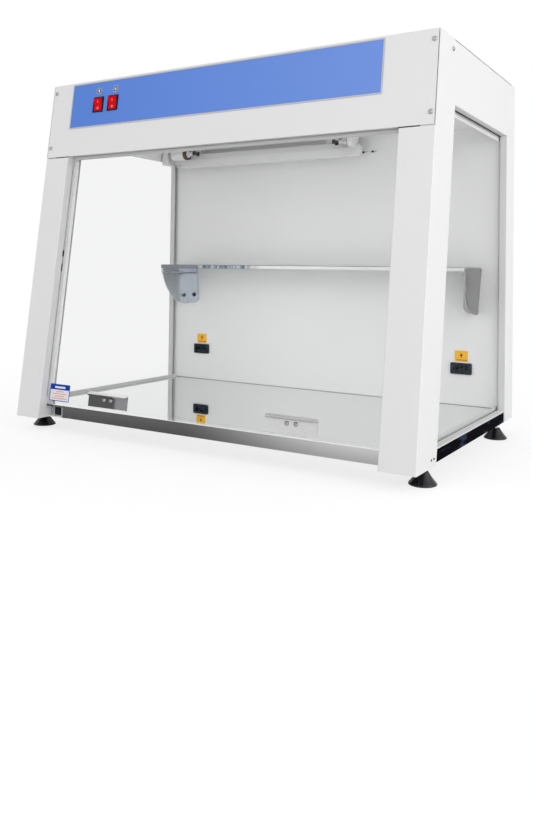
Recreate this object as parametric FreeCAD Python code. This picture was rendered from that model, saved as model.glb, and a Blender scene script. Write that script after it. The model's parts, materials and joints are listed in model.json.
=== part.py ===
import FreeCAD, Part

import math
import os

from FreeCAD import Placement, Rotation, Vector

# Still-air bench workstation: a cabinet of folded painted sheet with a leaning front, clear side
# windows, a front window hinged under the header, a stainless work tray, a glass shelf and two lamps.
#
# Frame: X runs along the width, Y from front to back, Z up. The origin is the centre of the
# footprint, on the bench. Lengths are in millimetres.

# ---------------------------------------------------------------- driving dimensions

WIDTH = 800.0               # over the side panels
DEPTH = 520.0               # front edge of the pillars to the rear screw heads
CABINET_HEIGHT = 645.0      # pillar foot to the top cover
FRONT_SETBACK = 84.0        # how far the front leans back over the cabinet height
LEG_HEIGHT = 25.0           # bench to pillar foot

SHEET = 1.5                 # painted steel and stainless sheet
CLEARANCE = 0.5             # between pieces that are laid side by side
SLIDE_GAP = 0.3             # between a moving piece and its stop
BORE_CLEARANCE = 0.1        # radial, screw shank in its hole
PIVOT_CLEARANCE = 0.05      # radial, pin in a bearing hole

HEADER_HEIGHT = 146.0       # front face of the header, top cover included
HEADER_HEM = 6.0            # fold under the header's lower edge
HEADER_FLANGE = 20.0        # fold at the header's top and the side flange that it is screwed to
PILLAR_WIDTH = 58.0         # front face of a pillar
PILLAR_RETURN = 31.5        # fold from the pillar face back into the chamber
PILLAR_TOP_GAP = 2.0        # dark line between a pillar and the header
SIDE_STRIP = 82.0           # side skin from the front plane to the window
REAR_STRIP = 60.0           # side skin from the window to the back
SIDE_HEADER = 103.0         # side skin above the window
REAR_STRIP_LIFT = 4.0       # the rear strip stops short of the pillar foot's level
REAR_FLANGE = 20.0          # side skin folded in behind the rear cover
WINDOW_RETURN = 12.0        # depth of the folds round the window, skin included
PANE_LIP = 8.0              # lip that the side window is bonded to
BEND_RADIUS = 2.0           # outside radius of the pillar's bends

PLENUM_DEPTH = 53.0         # chamber's back wall to the rear plane
CEILING_DROP = 83.0         # top cover to the chamber's ceiling
CEILING_FLANGE = 28.0       # fold down from the ceiling on three sides
TOP_LIP = 28.0              # lips of the top cover inside the side skins
WALL_FLANGE = 18.0          # folds behind the chamber's back wall

RAIL_WIDTH = 22.0           # base frame channel, flange
RAIL_HEIGHT = 20.0          # base frame channel, web
RAIL_WALL = 2.0             # base frame channel, wall
RAIL_LIFT = 3.0             # pillar foot to the underside of the base frame
CROSS_RAIL_COUNT = 2        # cross members inside the base frame
CROSS_RAIL_LEAD = 8.0       # last cross member's front edge ahead of the back wall

TRAY_INSET = 21.0           # pillar foot's front edge to the tray's apron
TRAY_SHOULDER = 1.5         # front rail's face to the tray's shoulder behind the pillars
TRAY_HEM = 12.0             # tray edge folded under itself
APRON_DROP = 23.0           # tray surface to the apron's lower edge
APRON_HEM = 6.0             # fold under the apron

SIDE_PANE = 4.0             # clear side window
SIDE_PANE_LAP = 5.0         # side window beyond its opening
FRONT_PANE = 5.0            # clear front window
FRONT_PANE_INSET = 17.5     # front plane to the window's front face
FRONT_PANE_BOTTOM = 31.0    # pillar foot to the window's lower edge
FRONT_PANE_GAP = 1.5        # window edge to the pillar return
STICKER = (50.5, 31.5, 0.3)  # width, height and thickness of the notice on the window
STICKER_MARGIN = 1.0        # window's edges to the notice
SEAL_WIDTH = 6.0            # rubber strip that the closed window rests on
SEAL_THICKNESS = 4.0

HINGE_AXIS_RISE = 6.5       # header's lower edge to the hinge axis
HINGE_PIN_RADIUS = 1.5
HINGE_BARREL_RADIUS = 3.7
HINGE_GAUGE = 1.2           # frame leaf
HINGE_LEAF = 16.0           # frame leaf above the barrel
HINGE_KNUCKLES = 7          # alternately on the frame leaf and the window's top rail
TOP_RAIL_WEB = 1.5          # top rail between its slot and the barrel
TOP_RAIL_GRIP = 3.5         # depth of the slot that holds the window
WINDOW_FIT = 0.2            # window in its slot

HANDLE_WIDTH = 92.0
HANDLE_HEIGHT = 27.0
HANDLE_FROM_SIDE = 211.0    # cabinet side to a pull's middle
HANDLE_LIP = 12.0           # sloping lip that the fingers hook under
HANDLE_LIP_DROP = 30.0      # degrees that the lip falls towards the front
HANDLE_CORNER = 7.0
HANDLE_SCREW_PITCH = 16.0
HANDLE_BOTTOM = 33.5        # pillar foot to the pull's lower edge

SCREW_HEAD_RADIUS = 4.0     # M4 pan head
SCREW_HEAD_HEIGHT = 2.4
SCREW_SHANK_RADIUS = 2.0
SCREW_SHANK = 8.0
HEADER_SCREW_INSET = 9.0    # cabinet side to the header's screws
HEADER_SCREW_DROPS = (16.0, 127.0)  # top cover down to them
LID_SCREW_SETBACK = 57.0    # header's top edge to the screw in the side
LID_SCREW_DROP = 18.0
REAR_SCREW_MARGIN = 30.0    # rear cover's screws to its lower and upper edges

SHELF_RISE = 293.0          # pillar foot to the shelf's upper face
SHELF_DEPTH = 102.0
SHELF_GLASS = 8.0
SHELF_END_GAP = 1.0         # shelf end to the bracket beside it
BRACKET_FROM_SIDE = 50.0    # cabinet side to the face that the shelf ends at
BRACKET_DROP = 82.0         # shelf's underside to the bracket's foot
BRACKET_REACH = 98.0
BRACKET_FLANGE = 28.0
BRACKET_GAUGE = 2.0
BRACKET_SPLAY = 4.5         # degrees that the gussets lean in towards their feet
BRACKET_STEP = 3.0          # gusset's tip behind the ledge's tip
UPSTAND_DROP = 1.5          # upstand beside the shelf, below the glass top
LEDGE = (4.0, 12.0, 3.5)    # bar that the shelf rests on: width, height and lower bevel
BRACKET_SCREW_RADIUS = 5.0  # head
BRACKET_SCREW_INSET = (12.5, 19.0)  # screw from the flange's free edge and from its foot

LABEL_LEFT_MARGIN = 53.5    # cabinet side to the overlay
LABEL_RIGHT_MARGIN = 88.0
LABEL_DROP = 3.0            # top cover to the overlay's upper edge, measured upright
LABEL_HEIGHT = 89.0         # measured upright
LABEL_GAUGE = 0.8
LABEL_CORNER = 2.0
SWITCH_DROP = 46.4          # overlay's upper edge to the rockers' centre
SWITCH_FROM_LEFT = {"light": 71.5, "uv": 108.0}  # overlay's left edge to a rocker's centre
BEZEL = (25.5, 30.0, 2.0)   # width, height and rise over the overlay
SWITCH_BODY = (21.6, 27.0, 21.0)  # width, height and depth behind the overlay
ROCKER_WIDTH = 18.8
ROCKER_RADIUS = 12.5        # rocker's ends, turned about its pivot
ROCKER_THROW = 16.0         # degrees from off to on
ROCKER_PIVOT_DEPTH = 1.0    # overlay's face down to the pivot
ROCKER_GAP = 0.4
ROCKER_DISH = 1.4           # pivot to the lowest point of the rocker's face
ROCKER_PIVOT_RADIUS = 1.0
TERMINAL = (0.8, 4.8, 8.0)  # switch terminal, thickness, width and length
TERMINAL_GRID = (10.0, 14.0)

TUBE_RADIUS = 13.0          # T8 lamp
TUBE_LENGTH = 437.0         # cap to cap
TUBE_CAP = 17.0
TUBE_PIN_RADIUS = 1.2
TUBE_PIN_LENGTH = 7.0
TUBE_PIN_PITCH = 12.7
LAMP_DROP = 16.0            # ceiling to the tubes' axis
UV_TUBE_SETBACK = 63.0      # chamber's back wall to the UV tube's axis
WHITE_TUBE_Y = 170.0        # front edge to the white tube's axis
LAMP_FROM_SIDE = 46.0       # left side window to the tubes' left end
LAMP_BODY_HEIGHT = 28.0     # wireway behind a tube, round-ended
LAMP_BODY_DEPTH = 22.0
LAMP_BODY_SETBACK = 20.0    # tube axis to the wireway's face
LAMP_BODY_OVERHANG = 24.0   # wireway beyond the tube's left end
LAMP_BODY_DROP = 42.0       # ceiling to the wireway's underside
SADDLE = (30.0, 14.0)       # saddle that hangs a wireway, width and depth
SADDLE_INSET = 60.0         # wireway's end to the saddle's middle
HOLDER_THICKNESS = 11.0
HOLDER_WIDTH = 22.0
END_BOX = (19.0, 26.0, 38.0)  # UV lamp's junction box, width, depth and height
END_BOX_LEAD = 4.0          # its front face ahead of the tube's axis
END_BOX_CORNER = 4.0

OUTLET_FROM_SIDES = (94.0, 86.0)  # left and right cabinet side to the outlet beside it
OUTLET_RISE = 97.0          # pillar foot to the outlets' centre
OUTLET = (42.0, 22.0, 3.0)  # width, height and rise over the wall
OUTLET_BODY = (36.0, 18.0, 26.0)
OUTLET_PIN_RADIUS = 2.3
OUTLET_PIN_PITCH = 19.0
OUTLET_EARTH_LIFT = 3.0     # middle hole above the other two
OUTLET_LABEL = (26.0, 21.0, 0.3)
OUTLET_LABEL_GAP = 2.5
OUTLET_RECESS = 4.5
CLIP = (9.0, 3.0, 4.0)      # black cable clips under the ceiling's rear flange
CLIPS_FROM_LEFT = (104.0, 487.0, 508.0)  # left side window to a clip's middle

INLET = (50.0, 26.0, 2.0)   # mains inlet's flange, width, height and thickness
INLET_FROM_SIDE = 100.0     # left cabinet side to the inlet's middle
INLET_RISE = 60.0
INLET_BODY = (30.0, 22.0, 24.0)
INLET_RECESS = (24.0, 16.0, 17.0)
INLET_BLADE = (2.0, 6.0, 14.0)  # contact blade, thickness, height and length
INLET_BLADE_PITCH = 7.0

BALLAST = (230.0, 40.0, 28.0)
BALLAST_TAB = 14.0
BALLAST_SLOT = (10.0, 4.4)
TERMINAL_BLOCK = (64.0, 22.0, 17.0)
TERMINAL_COUNT = 6
TERMINAL_FROM_SIDE = 120.0  # left side skin to the terminal block
TERMINAL_FROM_WALL = 90.0   # chamber's back wall to it

FOOT_RADIUS = 21.0
FOOT_RIM = 2.5
FOOT_HEIGHT = 19.5
FOOT_NECK_RADIUS = 8.5
FOOT_FRONT = 60.0           # pillar foot's front edge to the front feet
FOOT_FROM_REAR = 75.0
STUD_RADIUS = 4.0           # M8
STUD_SEAT = 7.5             # bench to the stud's lower end, inside the pad
STUD_TOP = 42.0             # bench to the stud's upper end
NUT_ACROSS_FLATS = 13.0
NUT_HEIGHT = 4.0

# ---------------------------------------------------------------- planes worked out from them

FRONT = -DEPTH / 2.0
BASE_Z = LEG_HEIGHT
TOP_Z = LEG_HEIGHT + CABINET_HEIGHT
HALF = WIDTH / 2.0
SKIN_X = HALF - SHEET                       # inner face of a side skin
LEAN = FRONT_SETBACK / CABINET_HEIGHT
LEAN_ANGLE = math.degrees(math.atan(LEAN))
STEEP = math.cos(math.radians(LEAN_ANGLE))
OUTWARD = Vector(0.0, -STEEP, math.sin(math.radians(LEAN_ANGLE)))
HEADER_Z = TOP_Z - HEADER_HEIGHT
REAR = DEPTH / 2.0 - SCREW_HEAD_HEIGHT      # outer face of the rear cover
SKIN_REAR = REAR - SHEET                    # rear edge of the side skins
WINDOW_TOP = TOP_Z - SIDE_HEADER
WINDOW_REAR = FRONT + DEPTH - REAR_STRIP
PANE_X = HALF - WINDOW_RETURN               # outer face of a side window
CHAMBER_X = PANE_X - SIDE_PANE              # inner face of a side window
RAIL_Z = BASE_Z + RAIL_LIFT
RAIL_TOP = RAIL_Z + RAIL_HEIGHT
TRAY_Z = RAIL_TOP + 2.0 * SHEET             # tray surface: plate on its hems
SILL_TOP = RAIL_TOP + SHEET
WALL_Y = FRONT + DEPTH - PLENUM_DEPTH       # front face of the chamber's back wall
CEILING_Z = TOP_Z - CEILING_DROP
RAIL_FRONT = FRONT + PILLAR_RETURN + LEAN * (RAIL_TOP - BASE_Z) + CLEARANCE
RETURN_X = HALF - PILLAR_WIDTH              # face of a pillar return
HINGE_Z = HEADER_Z + HINGE_AXIS_RISE
HINGE_INSET = FRONT_PANE_INSET + FRONT_PANE / 2.0
CEILING_FRONT_INSET = HINGE_INSET + HINGE_BARREL_RADIUS
OUTLET_X = (OUTLET_FROM_SIDES[0] - HALF, HALF - OUTLET_FROM_SIDES[1])
LABEL_LEFT = LABEL_LEFT_MARGIN - HALF
LABEL_RIGHT = HALF - LABEL_RIGHT_MARGIN
LABEL_Z = TOP_Z - LABEL_DROP - LABEL_HEIGHT
LAMP_LEFT = LAMP_FROM_SIDE - CHAMBER_X
LAMP_Z = CEILING_Z - LAMP_DROP
SHELF_Z = BASE_Z + SHELF_RISE - SHELF_GLASS  # underside of the shelf
BRACKET_X = HALF - BRACKET_FROM_SIDE
FOOT_Y = {"front": FRONT + FOOT_FRONT, "rear": FRONT + DEPTH - FOOT_FROM_REAR}


def front_y(z):
    """Depth of the leaning front plane at height z."""
    return FRONT + (z - BASE_Z) * LEAN


# ---------------------------------------------------------------- shape helpers

def box(x, y, z):
    """Block between the (low, high) pairs on each axis."""
    corner = Vector(x[0], y[0], z[0])
    return Part.makeBox(x[1] - x[0], y[1] - y[0], z[1] - z[0], corner)


def centred(width, height, low, high):
    """Block centred on X and Y, between two heights."""
    return box((-width / 2.0, width / 2.0), (-height / 2.0, height / 2.0), (low, high))


def prism(points, sweep):
    """Closed outline of points, swept along a vector."""
    corners = [Vector(*point) for point in points]
    return Part.Face(Part.makePolygon(corners + corners[:1])).extrude(Vector(*sweep))


def rod(radius, start, direction, length):
    """Round bar from a point along a direction."""
    return Part.makeCylinder(radius, length, Vector(*start), Vector(*direction))


def turned(profile):
    """Solid of revolution about Z from a list of edges that starts and ends on the axis."""
    return Part.Face(Part.Wire(profile)).revolve(Vector(0, 0, 0), Vector(0, 0, 1), 360)


def line(start, end):
    """Straight edge in the XZ plane."""
    return Part.LineSegment(Vector(start[0], 0, start[1]), Vector(end[0], 0, end[1])).toShape()


def arc(start, middle, end):
    """Round edge in the XZ plane through three points."""
    points = [Vector(x, 0, z) for x, z in (start, middle, end)]
    return Part.Arc(*points).toShape()


def joined(shapes):
    """One solid made of shapes that meet."""
    return shapes[0].multiFuse(shapes[1:]).removeSplitter()


def grouped(shapes):
    """Separate solids kept in one node."""
    return Part.makeCompound(shapes)


def mirrored(shape):
    """The same piece on the other side of the cabinet."""
    return shape.mirror(Vector(0, 0, 0), Vector(1, 0, 0))


def at(placement, shape):
    """Copy of a shape, placed."""
    copy = shape.copy()
    copy.Placement = placement.multiply(copy.Placement)
    return copy


def on_front(x, z, inset=0.0):
    """Placement on the leaning front: its X is the width, its Y climbs the slope, its Z points out."""
    base = Vector(x, front_y(z), z) - OUTWARD * inset
    return Placement(base, Rotation(Vector(1, 0, 0), 90.0 - LEAN_ANGLE))


def facing(point, direction):
    """Placement at a point whose Z runs along a direction."""
    return Placement(Vector(*point), Rotation(Vector(0, 0, 1), Vector(*direction)))


def up_slope(z_from, z_to):
    """Vector along the leaning front between two heights."""
    return (0.0, LEAN * (z_to - z_from), z_to - z_from)


def slope_length(rise):
    """Length along the leaning front for an upright rise."""
    return rise / STEEP


# ---------------------------------------------------------------- fasteners

def screw(head_radius=SCREW_HEAD_RADIUS, shank=SCREW_SHANK):
    """Screw with a low conical head on z = 0 and a plain shank below."""
    return turned([
        line((0, -shank), (SCREW_SHANK_RADIUS, -shank)),
        line((SCREW_SHANK_RADIUS, -shank), (SCREW_SHANK_RADIUS, 0)),
        line((SCREW_SHANK_RADIUS, 0), (head_radius, 0)),
        line((head_radius, 0), (head_radius * 0.7, SCREW_HEAD_HEIGHT)),
        line((head_radius * 0.7, SCREW_HEAD_HEIGHT), (0, SCREW_HEAD_HEIGHT)),
        line((0, SCREW_HEAD_HEIGHT), (0, -shank)),
    ])


def drilled(shape, places, radius=SCREW_SHANK_RADIUS + BORE_CLEARANCE, depth=3.0 * SCREW_SHANK):
    """Shape with a hole at each place, along the place's Z."""
    drill = Part.makeCylinder(radius, depth, Vector(0, 0, -depth / 2.0))
    return shape.cut([at(place, drill) for place in places])


def hexagon(across_flats, height):
    """Hexagonal bar standing on z = 0."""
    reach = across_flats / math.sqrt(3.0)
    corners = []
    for step in range(6):
        angle = math.radians(60.0 * step)
        corners.append((reach * math.cos(angle), reach * math.sin(angle), 0.0))
    return prism(corners, (0, 0, height))


def nut(bore_radius, across_flats=NUT_ACROSS_FLATS, height=NUT_HEIGHT):
    """Hexagonal nut standing on z = 0."""
    bore = Part.makeCylinder(bore_radius, height)
    return hexagon(across_flats, height).cut(bore)


def header_screw_places():
    """Two screws at each end of the header cover."""
    x = HALF - HEADER_SCREW_INSET
    return [on_front(side * x, TOP_Z - drop) for side in (-1, 1) for drop in HEADER_SCREW_DROPS]


def lid_screw_places():
    """One screw through each side skin into the top cover's lip."""
    y = front_y(TOP_Z) + LID_SCREW_SETBACK
    z = TOP_Z - LID_SCREW_DROP
    return [facing((side * HALF, y, z), (side, 0, 0)) for side in (-1, 1)]


def rear_screw_places():
    """One screw near each corner of the rear cover."""
    x = HALF - REAR_FLANGE / 2.0 - SHEET / 2.0
    heights = (BASE_Z + REAR_SCREW_MARGIN, TOP_Z - REAR_SCREW_MARGIN)
    return [facing((side * x, REAR, z), (0, 1, 0)) for side in (-1, 1) for z in heights]


def panel_screws():
    """Screws of the header, the top cover and the rear cover."""
    places = header_screw_places() + lid_screw_places() + rear_screw_places()
    return grouped([at(place, screw()) for place in places])


# ---------------------------------------------------------------- cabinet

def window_front(z):
    """Front edge of the side window at height z."""
    return front_y(z) + SIDE_STRIP


def side_skin():
    """Arch-shaped outer skin: front strip, header side and rear strip."""
    outline = [
        (SKIN_X, front_y(BASE_Z) + BEND_RADIUS, BASE_Z),
        (SKIN_X, front_y(HEADER_Z) + BEND_RADIUS, HEADER_Z),
        (SKIN_X, front_y(HEADER_Z), HEADER_Z),
        (SKIN_X, front_y(TOP_Z - SHEET), TOP_Z - SHEET),
        (SKIN_X, SKIN_REAR, TOP_Z - SHEET),
        (SKIN_X, SKIN_REAR, BASE_Z + REAR_STRIP_LIFT),
        (SKIN_X, WINDOW_REAR, BASE_Z + REAR_STRIP_LIFT),
        (SKIN_X, WINDOW_REAR, WINDOW_TOP),
        (SKIN_X, window_front(WINDOW_TOP), WINDOW_TOP),
        (SKIN_X, window_front(BASE_Z), BASE_Z),
    ]
    return prism(outline, (SHEET, 0, 0))


def pillar():
    """U-shaped fold of the pillar: side, rounded front face and return, cut off under the header."""
    top = HEADER_Z - PILLAR_TOP_GAP
    y = front_y(BASE_Z)
    y_end = y + PILLAR_RETURN
    z = BASE_Z
    outer = prism([(RETURN_X, y, z), (HALF, y, z), (HALF, y_end, z), (RETURN_X, y_end, z)],
                  up_slope(BASE_Z, top))
    corners = [edge for edge in outer.Edges if is_front_corner(edge)]
    outer = outer.makeFillet(BEND_RADIUS, corners)
    left = RETURN_X + SHEET
    hollow = prism([(left, y + SHEET, z), (SKIN_X, y + SHEET, z), (SKIN_X, y_end, z), (left, y_end, z)],
                   up_slope(BASE_Z, top))
    return outer.cut(hollow)


def is_front_corner(edge):
    """True for a long edge that lies in the leaning front plane and climbs it."""
    ends = [vertex.Point for vertex in edge.Vertexes]
    climbs = abs(ends[0].z - ends[-1].z) > 1.0
    return climbs and all(abs(end.y - front_y(end.z)) < 0.01 for end in ends)


def window_returns():
    """Folds round the window opening, with the lips that the side window is bonded to."""
    lip = (PANE_X, PANE_X + SHEET)
    fold = (PANE_X, HALF)
    z = RAIL_TOP
    front = window_front(z)
    return [
        prism([(PANE_X, front - SHEET, z), (HALF, front - SHEET, z), (HALF, front, z), (PANE_X, front, z)],
              up_slope(z, WINDOW_TOP + SHEET)),
        prism([(lip[0], front - PANE_LIP, z), (lip[1], front - PANE_LIP, z), (lip[1], front, z),
               (lip[0], front, z)], up_slope(z, WINDOW_TOP + SHEET)),
        box(fold, (window_front(WINDOW_TOP) - SHEET, WINDOW_REAR + SHEET), (WINDOW_TOP, WINDOW_TOP + SHEET)),
        box(lip, (window_front(WINDOW_TOP) - SHEET, WINDOW_REAR + SHEET), (WINDOW_TOP, WINDOW_TOP + PANE_LIP)),
        box(fold, (WINDOW_REAR, WINDOW_REAR + SHEET), (RAIL_TOP, WINDOW_TOP + SHEET)),
        box(fold, (window_front(RAIL_TOP) - SHEET, WINDOW_REAR + SHEET), (RAIL_TOP, SILL_TOP)),
    ]


def side_panel():
    """Right side panel, one folded sheet from the pillar round to the rear flange."""
    slope = slope_length(HEADER_HEIGHT - SHEET)
    header_flange = box((HALF - HEADER_FLANGE, HALF), (0, slope), (-2.0 * SHEET, -SHEET))
    rear_flange = box((HALF - REAR_FLANGE, HALF), (SKIN_REAR - SHEET, SKIN_REAR),
                      (BASE_Z + REAR_STRIP_LIFT, TOP_Z - SHEET))
    header_flange = at(on_front(0, HEADER_Z), header_flange)
    between_folds = (HEADER_Z + SHEET + CLEARANCE, TOP_Z - 2.0 * SHEET - CLEARANCE)
    header_flange = header_flange.common(box((0, WIDTH), (-DEPTH, DEPTH), between_folds))
    panel = joined([side_skin(), pillar(), header_flange, rear_flange] + window_returns())
    panel = drilled(panel, header_screw_places() + lid_screw_places() + rear_screw_places())
    return panel


def header_front_cover():
    """Front face of the header with its top fold and lower hem, cut out for the two switches."""
    top = TOP_Z - SHEET
    inner = SHEET / STEEP
    low = HEADER_Z
    outline = [
        (0, front_y(low), low),
        (0, front_y(low) + HEADER_HEM, low),
        (0, front_y(low) + HEADER_HEM, low + SHEET),
        (0, front_y(low + SHEET) + inner, low + SHEET),
        (0, front_y(top - SHEET) + inner, top - SHEET),
        (0, front_y(top) + HEADER_FLANGE, top - SHEET),
        (0, front_y(top) + HEADER_FLANGE, top),
        (0, front_y(top), top),
    ]
    half = SKIN_X - CLEARANCE
    cover = prism(outline, (2.0 * half, 0, 0))
    cover.translate(Vector(-half, 0, 0))
    return drilled(cover.cut(switch_cutouts(BORE_CLEARANCE)), header_screw_places())


def top_cover():
    """Lid with a lip inside each side skin."""
    front = front_y(TOP_Z)
    plate = box((-HALF, HALF), (front_y(TOP_Z - SHEET), REAR), (TOP_Z - SHEET, TOP_Z))
    overhang = prism([(-HALF, front_y(TOP_Z - SHEET), TOP_Z - SHEET), (-HALF, front, TOP_Z),
                      (-HALF, front_y(TOP_Z - SHEET), TOP_Z)], (WIDTH, 0, 0))
    lip = box((SKIN_X - SHEET, SKIN_X), (front + HEADER_FLANGE + CLEARANCE, SKIN_REAR - SHEET - CLEARANCE),
              (TOP_Z - TOP_LIP, TOP_Z - SHEET))
    lid = joined([plate.cut(overhang), lip, mirrored(lip)])
    return drilled(lid, lid_screw_places())


def ceiling_front_y(z):
    """Front face of the ceiling's leaning front flange at height z."""
    return front_y(z) + CEILING_FRONT_INSET / STEEP


def ceiling_panel():
    """Chamber ceiling: plate between the skins with flanges down on all four sides."""
    top = CEILING_Z + SHEET
    low = CEILING_Z - CEILING_FLANGE
    hang = HINGE_Z
    inner = SHEET / STEEP
    plate = box((-SKIN_X, SKIN_X), (ceiling_front_y(top), WALL_Y + SHEET), (CEILING_Z, top))
    front = prism([(-RETURN_X, ceiling_front_y(hang), hang), (-RETURN_X, ceiling_front_y(top), top),
                   (-RETURN_X, ceiling_front_y(top) + inner, top),
                   (-RETURN_X, ceiling_front_y(hang) + inner, hang)], (2.0 * RETURN_X, 0, 0))
    rear = box((-CHAMBER_X, CHAMBER_X), (WALL_Y - SHEET, WALL_Y), (low, CEILING_Z))
    side = box((CHAMBER_X - SHEET, CHAMBER_X), (ceiling_front_y(top) + inner, WALL_Y), (low, CEILING_Z))
    return joined([plate, front, rear, side, mirrored(side)])


def rear_inner_wall():
    """Back wall of the chamber with folds behind it and cut-outs for the outlets."""
    back = (WALL_Y + SHEET, WALL_Y + WALL_FLANGE)
    face = box((-SKIN_X, SKIN_X), (WALL_Y, WALL_Y + SHEET), (RAIL_TOP, CEILING_Z))
    foot = box((-SKIN_X, SKIN_X), back, (RAIL_TOP, RAIL_TOP + SHEET))
    edge = box((SKIN_X - SHEET, SKIN_X), back, (RAIL_TOP, CEILING_Z))
    wall = joined([face, foot, edge, mirrored(edge)])
    holes = []
    for x in OUTLET_X:
        hole = centred(OUTLET_BODY[0] + CLEARANCE, OUTLET_BODY[1] + CLEARANCE, -SHEET, SHEET)
        holes.append(at(outlet_place(x), hole))
    return drilled(wall.cut(holes), bracket_screw_places())


def rear_cover():
    """Flat back with a cut-out for the mains inlet."""
    edge = SKIN_X - CLEARANCE
    sheet = box((-edge, edge), (REAR - SHEET, REAR), (BASE_Z + REAR_STRIP_LIFT, TOP_Z - SHEET))
    hole = centred(INLET_BODY[0] + CLEARANCE, INLET_BODY[1] + CLEARANCE, -INLET_BODY[2], SHEET)
    sheet = sheet.cut(at(inlet_place(), hole))
    return drilled(sheet, rear_screw_places())


def base_frame():
    """Welded ring of channel, open to the inside, with cross members under the tray."""
    rear = SKIN_REAR - SHEET
    outer = box((-SKIN_X, SKIN_X), (RAIL_FRONT, rear), (RAIL_Z, RAIL_TOP))
    inset = RAIL_WIDTH
    centre = box((-SKIN_X + inset, SKIN_X - inset), (RAIL_FRONT + inset, rear - inset), (RAIL_Z, RAIL_TOP))
    inset = RAIL_WALL
    groove = box((-SKIN_X + inset, SKIN_X - inset), (RAIL_FRONT + inset, rear - inset),
                 (RAIL_Z + inset, RAIL_TOP - inset))
    ring = outer.cut([centre, groove])
    members = [ring] + [cross_rail(y) for y in cross_rail_positions()]
    holes = []
    for x, y in foot_positions():
        holes.append(rod(STUD_RADIUS + CLEARANCE, (x, y, RAIL_Z), (0, 0, 1), RAIL_WALL))
    return joined(members).cut(holes)


def cross_rail_positions():
    """Front faces of the cross members; the last one carries the chamber's back wall."""
    last = WALL_Y - CROSS_RAIL_LEAD
    first = RAIL_FRONT
    step = (last - first) / CROSS_RAIL_COUNT
    return [first + step * (index + 1) for index in range(CROSS_RAIL_COUNT)]


def cross_rail(y):
    """Channel, open below, between the webs of the side rails."""
    reach = SKIN_X - RAIL_WALL
    outer = box((-reach, reach), (y, y + RAIL_WIDTH), (RAIL_Z + RAIL_WALL, RAIL_TOP))
    hollow = box((-reach, reach), (y + RAIL_WALL, y + RAIL_WIDTH - RAIL_WALL), (RAIL_Z, RAIL_TOP - RAIL_WALL))
    return outer.cut(hollow)


def work_tray():
    """Stainless tray: plate on hemmed edges, narrowed between the pillars, with a front apron."""
    front = FRONT + TRAY_INSET
    narrow = RETURN_X - CLEARANCE
    wide = CHAMBER_X - CLEARANCE
    rear = WALL_Y - CLEARANCE
    apron_low = TRAY_Z - APRON_DROP
    under = (TRAY_Z - 2.0 * SHEET, TRAY_Z - SHEET)
    shoulder = RAIL_FRONT + TRAY_SHOULDER
    hem = box((wide - TRAY_HEM, wide), (shoulder, rear), under)
    return joined([
        box((-narrow, narrow), (front, shoulder), (TRAY_Z - SHEET, TRAY_Z)),
        box((-wide, wide), (shoulder, rear), (TRAY_Z - SHEET, TRAY_Z)),
        hem,
        mirrored(hem),
        box((-wide, wide), (rear - TRAY_HEM, rear), under),
        box((-wide, wide), (shoulder, shoulder + TRAY_HEM), under),
        box((-narrow, narrow), (front, front + SHEET), (apron_low, TRAY_Z)),
        box((-narrow, narrow), (front, front + APRON_HEM), (apron_low, apron_low + SHEET)),
    ])


# ---------------------------------------------------------------- windows

def side_window():
    """Right clear side window, bonded behind the lips and standing on the base frame."""
    low = RAIL_TOP + SLIDE_GAP
    high = WINDOW_TOP + SIDE_PANE_LAP
    rear = WINDOW_REAR + SIDE_PANE_LAP
    outline = [
        (CHAMBER_X, window_front(low) - SIDE_PANE_LAP, low),
        (CHAMBER_X, rear, low),
        (CHAMBER_X, rear, high),
        (CHAMBER_X, window_front(high) - SIDE_PANE_LAP, high),
    ]
    return prism(outline, (SIDE_PANE, 0, 0))


def front_window():
    """Clear front window between the pillars, drilled for its pulls."""
    half = window_half()
    bottom = BASE_Z + FRONT_PANE_BOTTOM
    top = HINGE_Z - (HINGE_BARREL_RADIUS + SLIDE_GAP + TOP_RAIL_WEB + WINDOW_FIT) * STEEP
    height = slope_length(top - bottom)
    pane = at(on_front(0, bottom, FRONT_PANE_INSET), box((-half, half), (0, height), (-FRONT_PANE, 0)))
    upright = [edge for edge in pane.Edges if edge.Length < FRONT_PANE + 0.1]
    pane = pane.makeFillet(1.0, upright)
    return drilled(pane, handle_screw_places())


def window_seals():
    """Rubber strips on the pillar returns and the black beads over the side windows."""
    low = BASE_Z + FRONT_PANE_BOTTOM
    near = front_y(low) + (FRONT_PANE_INSET + FRONT_PANE + SLIDE_GAP) / STEEP
    far = near + SEAL_WIDTH / STEEP
    x = RETURN_X - SEAL_THICKNESS
    strip = prism([(x, near, low), (RETURN_X, near, low), (RETURN_X, far, low), (x, far, low)],
                  up_slope(low, HINGE_Z - 2.0 * (HINGE_BARREL_RADIUS + TOP_RAIL_GRIP)))
    flange_low = CEILING_Z - CEILING_FLANGE
    bead_front = window_front(WINDOW_TOP)
    bead = box((CHAMBER_X - SHEET, CHAMBER_X), (bead_front, WINDOW_REAR), (flange_low - SHEET, flange_low))
    return grouped([strip, mirrored(strip), bead, mirrored(bead)])


def window_sticker():
    """Plain notice at the window's lower left corner."""
    width, height, gauge = STICKER
    left = STICKER_MARGIN - window_half()
    sheet = box((left, left + width), (STICKER_MARGIN, STICKER_MARGIN + height), (0, gauge))
    return at(on_front(0, BASE_Z + FRONT_PANE_BOTTOM, FRONT_PANE_INSET), sheet)


# ---------------------------------------------------------------- front window's hinge

def hinge_place():
    """Hinge frame on the axis: X along the header, Y up the slope, Z out."""
    return on_front(0, HINGE_Z, HINGE_INSET)


def window_half():
    """Half the width of the front window and of its hinge."""
    return RETURN_X - FRONT_PANE_GAP


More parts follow.
